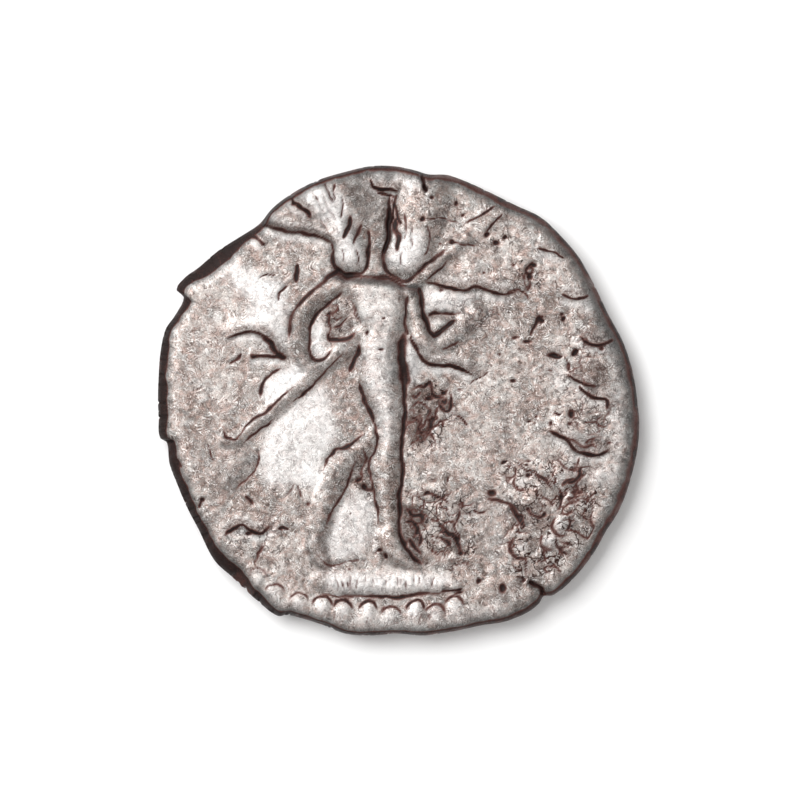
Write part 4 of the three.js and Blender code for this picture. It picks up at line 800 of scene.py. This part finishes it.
def make_upper(face):
    for step in (far_leg, spear, arms, torso_and_near_leg, lobes, ground_and_beads):
        step(face)
    face.height = blurred(np.minimum(face.height, UPPER_RELIEF), 1)
    for step in (lumps, folds, strokes, crevices):
        step(face)
    face.height = np.minimum(face.height, UPPER_RELIEF)
    for step in (bead_marks, streaks, hairlines, pits, scattered_pits, corroded_areas,
                 bright_areas, shaded_areas, stained_areas, shaded_limbs):
        step(face)


# ---- the underside: a worn laureate head facing right -----------------------
def head(face):
    face.patch([
        (1.35, -6.1), (1.3, -4.6), (1.75, -3.95), (2.6, -3.95), (3.1, -3.6), (3.08, -3.1), (2.88, -2.75),
        (3.15, -2.5), (3.02, -2.25), (3.25, -2), (3.12, -1.65), (3.3, -1.4), (4, -1.2), (3.9, -0.85),
        (3.5, 0), (3.22, 0.75), (3.32, 1.25), (3.15, 2), (2.9, 2.9), (2.4, 3.8), (1.6, 4.6), (0.3, 5.15),
        (-1.3, 5.1), (-2.8, 4.4), (-3.85, 3.1), (-4.3, 1.5), (-4.15, 0), (-3.6, -1.2), (-3.05, -2.1),
        (-2.9, -3.2), (-3.2, -4.6), (-3.9, -5.8), (-2.5, -6.6), (-0.6, -6.85), (0.9, -6.5)
    ], 0.29, 0.75)
    rise = 0.26 * smooth((np.hypot(face.x, face.y) - 6.9) / 0.9)
    face.raise_to(EVERYWHERE, rise)


# Brow, nose, eye, lips, chin, jaw and ear: points with half-widths, and height.
FEATURES = [
    ([(1.6, 1.25, 0.3), (2.4, 1.45, 0.32), (3.15, 1.25, 0.26)], 0.38),
    ([(3.2, 0.9, 0.26), (3.45, 0, 0.3), (3.7, -0.95, 0.36)], 0.4),
    ([(2, 0.55, 0.2), (2.45, 0.68, 0.26), (2.85, 0.55, 0.18)], 0.38),
    ([(2.5, -2.02, 0.2), (3.12, -1.98, 0.22)], 0.37),
    ([(2.5, -2.45, 0.2), (3.05, -2.48, 0.24)], 0.37),
    ([(2.3, -3.3, 0.5), (2.75, -3.4, 0.42)], 0.38),
    ([(-0.4, -1.9, 0.5), (0.6, -3, 0.6), (1.9, -3.4, 0.5)], 0.37),
    ([(-0.5, 0.6, 0.26), (0, 0.5, 0.26), (0.1, -0.1, 0.24), (-0.3, -0.9, 0.22)], 0.42),
]

# Furrows of ear, mouth, eye and neck: points, depth, width, and darkness of their dirt and painted shade.
FURROWS = [
    ([(-0.5, 0.1), (-0.35, -0.5)], 0.12, 0.16, 0.4),
    ([(2.2, -2.24), (3.1, -2.22)], 0.1, 0.1, 0.45),
    ([(1.85, 0.9), (2.45, 1.02), (3, 0.85)], 0.08, 0.1, 0.4),
    ([(1.95, 0.36), (2.45, 0.3), (2.85, 0.38)], 0.06, 0.08, 0.3),
    ([(0.9, -4.3), (0.2, -5.1), (0.1, -6)], 0.06, 0.3, 0.2),
]


def face_features(face):
    for rows, height in FEATURES:
        face.limb(rows, height, 0.9, 0.9)
    face.swell(1.5, -1.1, 1, 0.9, 0.18)
    for row in FURROWS:
        face.groove(*row)


# A leaf of the wreath: distance from its foot and half-width there.
LEAF = [(0, 0.16), (0.55, 0.36), (1.15, 0.12)]


def hair_and_wreath(face):
    """Rows of curls over the skull, pairs of leaves along the wreath, and its two ribbons."""
    for row in range(4):
        count = 6 + 2 * row
        reach = 1.7 + 0.78 * row
        for i in range(count):
            angle = np.radians(mix(56, 226, (i + 0.5 * (row % 2)) / (count - 0.5)))
            x, y = -0.45 + reach * np.cos(angle), 0.95 + reach * np.sin(angle)
            heading = angle + (1.1 if row % 2 else 2.1)
            dx, dy = 0.3 * np.cos(heading), 0.3 * np.sin(heading)
            face.limb([(x - dx, y - dy, 0.16), (x, y, 0.3), (x + dx, y + dy, 0.16)], 0.42, 1, 1)
    for i in range(7):
        angle = np.radians(mix(190, 48, i / 6))
        x, y = -0.35 + 3 * np.cos(angle), 0.95 + 3.05 * np.sin(angle)
        for aim in (angle - 1.75, angle - 0.85):
            dx, dy = np.cos(aim), np.sin(aim)
            leaf = [(x + far * dx, y + far * dy, width) for far, width in LEAF]
            face.limb(leaf, 0.46, 0.9, 0.9)
    face.limb([(-3.5, -0.1, 0.28), (-4.2, -0.9, 0.24), (-4.5, -1.9, 0.24), (-5, -2.8, 0.2)], 0.26, 0.8, 0.8)
    face.limb([(-3.5, -0.3, 0.26), (-3.75, -1.6, 0.22), (-4.2, -3, 0.22), (-4.1, -3.9, 0.18)], 0.26, 0.8, 0.8)


def under_border(face):
    """Beads all around, and short strokes where the writing was."""
    for i in range(UNDER_BEADS):
        angle = 2 * np.pi * i / UNDER_BEADS
        face.bead(8.05 * np.cos(angle), 7.95 * np.sin(angle), 0.42, 0.52)
    for i in range(15):
        angle = np.radians(mix(152, -38, i / 14))
        tip = angle + (i % 3 - 1) * 0.09
        inner, outer = (6 * np.cos(angle), 6 * np.sin(angle)), (6.95 * np.cos(tip), 6.95 * np.sin(tip))
        face.limb([(*inner, 0.2), (*outer, 0.2)], 0.2, 0.95, 0.95)


def make_under(face):
    for step in (head, hair_and_wreath, under_border, face_features):
        step(face)
    face.height = np.minimum(face.height, UNDER_RELIEF)


# ---- the edge ---------------------------------------------------------------
EDGE = np.array(EDGE_LINE, float)
EDGE_ANGLE = np.degrees(np.arctan2(EDGE[:, 1], EDGE[:, 0])) % 360
EDGE_ORDER = np.argsort(EDGE_ANGLE)
EDGE_RADIUS = np.tile(np.hypot(EDGE[:, 0], EDGE[:, 1])[EDGE_ORDER], 3)
EDGE_ANGLE = np.concatenate([EDGE_ANGLE[EDGE_ORDER] + turn for turn in (-360, 0, 360)])


def widest(angle):
    """Radius of the widest line, smooth through the points of EDGE_LINE."""
    a, r = EDGE_ANGLE, EDGE_RADIUS
    wanted = angle % 360
    i = np.searchsorted(a, wanted, side="right") - 1
    span = a[i + 1] - a[i]
    t = (wanted - a[i]) / span
    leaving = (r[i + 1] - r[i - 1]) / (a[i + 1] - a[i - 1]) * span
    arriving = (r[i + 2] - r[i]) / (a[i + 2] - a[i]) * span
    return ((2 * t ** 3 - 3 * t ** 2 + 1) * r[i] + (t ** 3 - 2 * t ** 2 + t) * leaving
            + (3 * t ** 2 - 2 * t ** 3) * r[i + 1] + (t ** 3 - t ** 2) * arriving)


def near_angle(angle, centre, spread):
    """1 at the centre angle, falling off over the spread, all in degrees."""
    return bell((angle - centre + 900) % 360 - 180, spread)


def upper_inset(angle):
    """How far the rim of the upper face lies inside the widest line, in mm."""
    inset = 0.12
    for much, centre, spread in [
        (0.19, 187, 38), (0.2, 226, 12), (0.3, 142, 9), (0.1, 0, 42), (0.05, 60, 25),
    ]:
        inset = inset + much * near_angle(angle, centre, spread)
    return inset


def under_inset(angle):
    return 0.16 + 0.12 * near_angle(angle, 20, 50) + 0.1 * near_angle(angle, 300, 30)


def rim_darkening(angle):
    """How far the dirt and painted shade of the edge come in over a face, in mm."""
    return (0.035 + 0.15 * near_angle(angle, 0, 50) + 0.1 * near_angle(angle, 95, 40)
            + 0.03 * near_angle(angle, 190, 60))


def upper_rim(angle):
    turned = np.radians(angle)
    wobble = rough(np.cos(turned) * 9, np.sin(turned) * 9, 0.5, 71, 2)
    return widest(angle) - upper_inset(angle) * (1 + 0.2 * wobble)


def under_rim(angle):
    return widest(angle) - under_inset(angle)


# ---- mesh -------------------------------------------------------------------
def place(cells, rim):
    """Grid nodes bent onto the disc: x, y and how far each lies inside the rim."""
    v, u = np.meshgrid(np.linspace(-1, 1, cells + 1), np.linspace(-1, 1, cells + 1), indexing="ij")
    x, y = u * np.sqrt(1 - v * v / 2), v * np.sqrt(1 - u * u / 2)
    share = np.hypot(x, y)
    angle = np.degrees(np.arctan2(y, x))
    scale = mix(9, rim(angle), share ** 4)
    inward = rim(angle) - share * scale
    return x * scale, y * scale, inward


def squares(cells, first, outward):
    """Four-sided faces of a grid whose first node has the given number."""
    base = first + np.arange(cells)[:, None] * (cells + 1) + np.arange(cells)[None, :]
    a, b, c, d = base, base + 1, base + cells + 2, base + cells + 1
    corners = (a, b, c, d) if outward > 0 else (a, d, c, b)
    return np.stack(corners, -1).reshape(-1, 4)


def rim_nodes(cells, first):
    """Numbers of the nodes around a grid, in order."""
    side = cells + 1
    k = np.arange(cells)
    return first + np.concatenate([k, k * side + cells, cells * side + cells - k, (cells - k) * side])


def band(low, high):
    """Faces between two rings of nodes."""
    return np.stack([low, np.roll(low, -1), np.roll(high, -1), high], -1)


def build_face(cells, rim, make, outward, roll, grain, hollow_shade):
    """One face on its grid: relief, grain, rolled rim, painted shade in the hollows, and dirt and painted
    shade at the rim.
    """
    x, y, inward = place(cells, rim)
    face = Face(outward * x, y, 0.05 if outward > 0 else 0.03)
    make(face)
    # Painted shade in the hollows of the relief.
    hollow = np.clip((blurred(face.height, 3) - face.height) * hollow_shade, 0, 0.6)
    face.mark("shade", EVERYWHERE, hollow)
    swirl_x = x + 0.15 * lattice(x, y, 0.35, 51)
    swirl_y = y + 0.15 * lattice(x, y, 0.35, 52)
    texture = rough(swirl_x, swirl_y, 0.22, 3, 2) + 0.5 * rough(x, y, 0.9, 7, 2)
    face.height += grain * texture * (1 - 0.6 * face.shine) * (1 + face.crust)
    face.height -= roll * np.maximum(0, 1 - inward / ROLL_WIDTH) ** 2
    face.grain = np.clip(0.5 + 0.6 * (texture - blurred(texture, 3)), 0, 1)
    angle = np.degrees(np.arctan2(y, x))
    # Dirt and painted shade at the rim, reaching furthest in on the right.
    ring = rim_darkening(outward * angle) * (1 + 0.5 * rough(x, y, 0.3, 61))
    rim_dirt_and_shade = 0.8 - 0.6 * near_angle(outward * angle, 20, 60)
    face.mark("dirt_and_shade", EVERYWHERE, rim_dirt_and_shade * bell(inward, 0.6 * ring))
    face.mark("shade", EVERYWHERE, 0.95 * bell(inward, 0.1 + 1.8 * ring))
    return x, y, face


# Marks of the wall: name, value at its upper rim, value at its waist, and how much it varies.
# The wall's grey shade is painted shade, and its dirt is dirt and painted shade.
WALL_MARKS = [
    ("dirt_and_shade", 0.78, 0.16, 0.4), ("shine", 0, 0, 0), ("crust", 0.8, 0.62, 0.4),
    ("cracked", 0.6, 0.6, 0.3), ("grain", 0.4, 0.4, 0.3), ("shade", 0.95, 0.4, 0.3),
]
TOP = UNDER_RELIEF + FLAN
WALL_LOW = UNDER_RELIEF + UNDER_ROLL + EDGE_SLOPE
WALL_HIGH = TOP - UPPER_ROLL - EDGE_SLOPE
WALL_LEVELS = [WALL_HIGH + 0.15, WALL_HIGH, (WALL_HIGH + WALL_LOW) / 2, WALL_LOW]


def wall_ring(angle, level):
    """Points around the wall at one level, with small chips, most of them on the left."""
    spread = 0.35 if level > WALL_HIGH else 0
    chips = rough(angle * 0.16, np.full_like(angle, level * 2.5), 0.2, 21, 3)
    depth = 0.06 + 0.24 * near_angle(angle, 200, 55)
    radius = widest(angle) - spread * upper_inset(angle) - depth * np.maximum(chips - 0.2, 0)
    turned = np.radians(angle)
    return np.stack([radius * np.cos(turned), radius * np.sin(turned), np.full_like(angle, level)], -1)


def stitches(wall, rim):
    """Triangles between a ring of the wall and a rim with half as many points."""
    triangles = []
    for k, a in enumerate(rim):
        b = rim[(k + 1) % len(rim)]
        p, q, r = wall[2 * k], wall[2 * k + 1], wall[(2 * k + 2) % len(wall)]
        triangles += [(a, q, p), (a, b, q), (b, r, q)]
    return np.array(triangles)


def wall_marks(angle):
    """Each mark of the wall, for all its rings one after the other."""
    angles = np.tile(angle, len(WALL_LEVELS))
    levels = np.repeat(WALL_LEVELS, len(angle))
    spots = rough(angles * 0.16, levels * 1.5, 0.5, 23, 3)
    low_down = smooth((WALL_HIGH - levels) / (WALL_HIGH - WALL_LOW))
    marks = {}
    for name, at_rim, at_waist, vary in WALL_MARKS:
        marks[name] = mix(at_rim, at_waist, low_down) + vary * spots
    # Dirt and painted shade of the wall: more on the left, less on the right at its top ring.
    marks["dirt_and_shade"] += 0.25 * near_angle(angles, 142, 16) + 0.3 * near_angle(angles, 190, 45)
    marks["dirt_and_shade"] -= 0.15 * near_angle(angles, 20, 60) * (levels > WALL_HIGH)
    return marks


def build_coin():
    """Points, four-sided faces, triangles and marks of the whole coin, in mm."""
    ux, uy, upper = build_face(UPPER_GRID, upper_rim, make_upper, 1, UPPER_ROLL, 0.0045, 4)
    lx, ly, under = build_face(UNDER_GRID, under_rim, make_under, -1, UNDER_ROLL, 0.004, 22)
    upper_points = np.stack([ux, uy, TOP + upper.height], -1).reshape(-1, 3)
    under_points = np.stack([lx, ly, UNDER_RELIEF - under.height], -1).reshape(-1, 3)
    under_first = len(upper_points)
    wall_first = under_first + len(under_points)
    rings = [rim_nodes(UPPER_GRID, 0)]
    rim_points = upper_points[rings[0]]
    angle = np.degrees(np.arctan2(rim_points[:, 1], rim_points[:, 0]))
    points = [upper_points, under_points] + [wall_ring(angle, level) for level in WALL_LEVELS]
    rings += [wall_first + k * len(angle) + np.arange(len(angle)) for k in range(len(WALL_LEVELS))]
    faces = [squares(UPPER_GRID, 0, 1), squares(UNDER_GRID, under_first, -1)]
    faces += [band(below, above) for above, below in zip(rings[:-1], rings[1:])]
    triangles = stitches(rings[-1], rim_nodes(UNDER_GRID, under_first))
    marks = {name: np.concatenate([getattr(upper, name).ravel(), getattr(under, name).ravel(), wall])
             for name, wall in wall_marks(angle).items()}
    return np.concatenate(points), np.concatenate(faces), triangles, marks


def fit_to_cad(points):
    """Centre the coin in the CAD node's box, in metres, never larger than it."""
    low, high = (np.array(corner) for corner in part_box("coin"))
    own_low, own_high = points.min(0) * MM, points.max(0) * MM
    size = np.minimum((high - low) / (own_high - own_low), 1.0)
    middle = (own_low + own_high) / 2
    placed = (points * MM - middle) * size + (low + high) / 2
    placed[:, 2] += low[2] - placed[:, 2].min()
    return placed


def coin_object():
    points, quads, triangles, marks = build_coin()
    mesh = bpy.data.meshes.new("denarius")
    mesh.from_pydata(fit_to_cad(points).tolist(), [], quads.tolist() + triangles.tolist())
    for name, values in marks.items():
        mesh.attributes.new(name, "FLOAT", "POINT").data.foreach_set("value", np.clip(values, 0, 1))
    mesh.shade_smooth()
    mesh.validate()
    piece = bpy.data.objects.new("denarius", mesh)
    bpy.context.scene.collection.objects.link(piece)
    return piece


# ---- material ---------------------------------------------------------------
class Nodes:
    """Short ways to add and join shader nodes."""

    def __init__(self, name):
        self.material = bpy.data.materials.new(name)
        self.material.use_nodes = True
        self.tree = self.material.node_tree
        self.tree.nodes.clear()

    def add(self, kind, inputs=None, **settings):
        node = self.tree.nodes.new(kind)
        for name, value in settings.items():
            setattr(node, name, value)
        for name, value in (inputs or {}).items():
            if isinstance(value, bpy.types.NodeSocket):
                self.tree.links.new(value, node.inputs[name])
            else:
                node.inputs[name].default_value = value
        return node

    def times(self, a, b):
        return self.maths("MULTIPLY", a, b)

    def maths(self, operation, a, b=0.0):
        return self.add("ShaderNodeMath", {0: a, 1: b}, operation=operation).outputs[0]

    def attribute(self, name):
        return self.add("ShaderNodeAttribute", attribute_name=name).outputs["Fac"]

    def noise(self, where, scale, detail, harshness, distortion):
        node = self.add("ShaderNodeTexNoise", {
            "Vector": where, "Scale": float(scale), "Detail": float(detail),
            "Roughness": harshness, "Distortion": float(distortion),
        })
        return node.outputs["Fac"]

    def blend(self, share, a, b):
        node = self.add("ShaderNodeMix", data_type="RGBA", clamp_factor=True)
        for socket, value in ((node.inputs[0], share), (node.inputs[6], a), (node.inputs[7], b)):
            if isinstance(value, bpy.types.NodeSocket):
                self.tree.links.new(value, socket)
            else:
                socket.default_value = value
        return node.outputs[2]

    def span(self, value, low, high, to_low, to_high):
        return self.add("ShaderNodeMapRange", {"Value": value, "From Min": low, "From Max": high,
                                               "To Min": to_low, "To Max": to_high}).outputs[0]


def silver_material():
    """Dull silver with patches and grain, under wear with painted highlights, crust, cracks, painted grey
    shade, and brown to black dirt with painted shade.
    """
    n = Nodes("worn_silver")
    where = n.add("ShaderNodeTexCoord").outputs["Object"]
    dirt_and_shade, shade, shine, crust, cracked, relief = (
        n.attribute(name) for name in ("dirt_and_shade", "shade", "shine", "crust", "cracked", "grain"))
    grain = n.noise(where, 11000, 2, 0.7, 3)
    dirt_and_shade = n.times(dirt_and_shade, n.span(grain, 0.32, 0.68, 0.62, 1.38))
    crust = n.times(crust, n.span(n.noise(where, 5200, 3, 0.7, 2), 0.36, 0.64, 0.45, 1.4))
    blotch = n.noise(where, 1300, 5, 0.65, 0.8)
    patches = n.noise(where, 520, 4, 0.65, 0.8)
    tint = n.noise(where, 2600, 3, 0.7, 1)
    flow = n.maths("SINE", n.times(n.noise(where, 1700, 1, 0.5, 1.5), 75))
    stroke = n.times(flow, n.span(n.noise(where, 5200, 1, 0.5, 1), 0.45, 0.62, 0, 1))
    tone = n.maths("ADD", n.times(grain, 0.85), n.times(relief, 0.15))
    tone = n.maths("ADD", tone, n.times(stroke, 0.15))
    glint = n.times(n.span(tone, 0.52, 0.68, 0, 0.8), n.span(crust, 0.2, 1, 1, 0.25))
    dull = n.maths("SUBTRACT", 1, n.times(shine, 0.55))
    speck = n.times(n.span(tone, 0.47, 0.32, 0, 0.9), dull)
    colour = n.blend(n.span(blotch, 0.38, 0.62, 0, 1), (0.34, 0.286, 0.262, 1), (0.5, 0.445, 0.412, 1))
    for share, layer in [
        (n.span(patches, 0.4, 0.56, 0.9, 0), (0.21, 0.165, 0.145, 1)),  # dark patches
        (n.span(patches, 0.54, 0.66, 0, 0.6), (0.62, 0.565, 0.53, 1)),  # pale patches
        (n.span(tint, 0.5, 0.64, 0, 0.55), (0.5, 0.34, 0.29, 1)),  # copper tint
        (n.span(tint, 0.48, 0.36, 0, 0.4), (0.3, 0.33, 0.33, 1)),  # grey-green tint
        (n.span(shine, 0, 1, 0, 0.85), (0.9, 0.88, 0.87, 1)),  # wear and painted highlight
        (n.span(crust, 0, 0.9, 0, 0.9), (0.1, 0.062, 0.05, 1)),  # brown crust
        (glint, (0.95, 0.92, 0.9, 1)),  # bright grains
        (speck, (0.09, 0.065, 0.058, 1)),  # dark grains
        (cracks(n, where, cracked), (0.035, 0.015, 0.012, 1)),
        (n.span(shade, 0, 1, 0, 0.85), (0.065, 0.07, 0.07, 1)),  # painted grey shade
        (n.span(dirt_and_shade, 0.12, 0.5, 0, 1), (0.115, 0.046, 0.038, 1)),  # red-brown edge of the dirt and painted shade
        (n.span(dirt_and_shade, 0.36, 0.8, 0, 1), (0.016, 0.009, 0.008, 1)),  # black dirt and painted shade
    ]:
        colour = n.blend(share, colour, layer)
    # Dirt, painted shade and crust make the silver less metallic.
    darkness = n.maths("MAXIMUM", dirt_and_shade, n.times(shade, 0.5))
    dulling = n.maths("MAXIMUM", darkness, n.times(crust, 0.7))
    bump = n.add("ShaderNodeBump", {"Height": tone, "Strength": 0.7, "Distance": 0.00002}).outputs[0]
    shader = n.add("ShaderNodeBsdfPrincipled", {
        "Base Color": colour, "Metallic": n.maths("SUBTRACT", 0.9, n.times(dulling, 0.75)),
        "Roughness": n.span(grain, 0.3, 0.7, 0.5, 0.36), "Specular IOR Level": 0.15, "Normal": bump,
    })
    n.add("ShaderNodeOutputMaterial", {"Surface": shader.outputs[0]})
    return n.material


def cracks(n, where, cracked):
    """Thin broken cracks at two sizes, where the surface is corroded."""
    bend = n.add("ShaderNodeTexNoise", {"Vector": where, "Scale": 2600.0, "Detail": 2.0}).outputs["Color"]
    shift = n.add("ShaderNodeVectorMath", {0: bend, "Scale": 0.0007}, operation="SCALE").outputs[0]
    bent = n.add("ShaderNodeVectorMath", {0: where, 1: shift}, operation="ADD").outputs[0]
    lines = []
    for scale, width, kept in ((1400.0, 0.055, 0.48), (3400.0, 0.085, 0.5)):
        away = n.add("ShaderNodeTexVoronoi", {"Vector": bent, "Scale": scale},
                     feature="DISTANCE_TO_EDGE").outputs["Distance"]
        kept_here = n.span(n.noise(where, 0.8 * scale, 1, 0.5, 0.5), kept, kept + 0.06, 0, 1)
        lines.append(n.times(n.span(away, 0.3 * width, width, 1, 0), kept_here))
    return n.times(n.maths("MAXIMUM", lines[0], lines[1]), n.span(cracked, 0, 0.8, 0.28, 1))


def floor_material():
    n = Nodes("pale_floor")
    where = n.add("ShaderNodeTexCoord").outputs["Object"]
    cloud = n.add("ShaderNodeTexNoise", {"Vector": where, "Scale": 20.0, "Detail": 2.0}).outputs["Fac"]
    colour = n.blend(cloud, (0.95, 0.95, 0.95, 1), (0.97, 0.97, 0.97, 1))
    shader = n.add("ShaderNodeBsdfPrincipled", {"Base Color": colour, "Roughness": 0.9})
    n.add("ShaderNodeOutputMaterial", {"Surface": shader.outputs[0]})
    return n.material


# ---- floor, lights and camera -----------------------------------------------
# Width and centre of the view in mm, and height of the camera in m.
VIEW_WIDTH = 30.7692
VIEW_CENTRE = (0.051, 0.019)
CAMERA_HEIGHT = 0.4


def make_floor(base, half=0.5):
    mesh = bpy.data.meshes.new("floor")
    corners = [(-half, -half, base), (half, -half, base), (half, half, base), (-half, half, base)]
    mesh.from_pydata(corners, [], [(0, 1, 2, 3)])
    mesh.materials.append(floor_material())
    floor = bpy.data.objects.new("floor", mesh)
    bpy.context.scene.collection.objects.link(floor)


def softbox(name, place_at, size, power):
    """A square area light that looks at the coin."""
    light = bpy.data.lights.new(name, "AREA")
    light.shape = "SQUARE"
    light.size = size
    light.energy = power
    lamp = bpy.data.objects.new(name, light)
    lamp.location = place_at
    lamp.rotation_mode = "QUATERNION"
    lamp.rotation_quaternion = (-Vector(place_at)).to_track_quat("-Z", "Y")
    bpy.context.scene.collection.objects.link(lamp)


def make_lights():
    softbox("key", (-0.19, 0.16, 0.32), 0.3, 1.88)
    softbox("overhead", (-0.03, 0.03, 0.42), 0.3, 0.12)
    softbox("fill", (0.3, -0.2, 0.25), 0.25, 0.22)
    world = bpy.data.worlds.new("studio")
    world.use_nodes = True
    world.node_tree.nodes["Background"].inputs[0].default_value = (1, 0.99, 0.98, 1)
    world.node_tree.nodes["Background"].inputs[1].default_value = 0.42
    bpy.context.scene.world = world
    bpy.context.scene.view_settings.view_transform = "Standard"


def make_camera():
    """Straight above the coin, upright, with a long lens."""
    camera = bpy.data.cameras.new("camera")
    camera.sensor_width = 36
    camera.lens = camera.sensor_width * CAMERA_HEIGHT / (VIEW_WIDTH * MM)
    camera.clip_start = 0.01
    body = bpy.data.objects.new("camera", camera)
    body.location = (VIEW_CENTRE[0] * MM, VIEW_CENTRE[1] * MM, CAMERA_HEIGHT)
    bpy.context.scene.collection.objects.link(body)
    bpy.context.scene.camera = body


coin = coin_object()
coin.data.materials.append(silver_material())
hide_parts("coin")
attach(coin, "root")
make_floor(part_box("coin")[0][2])
make_lights()
make_camera()
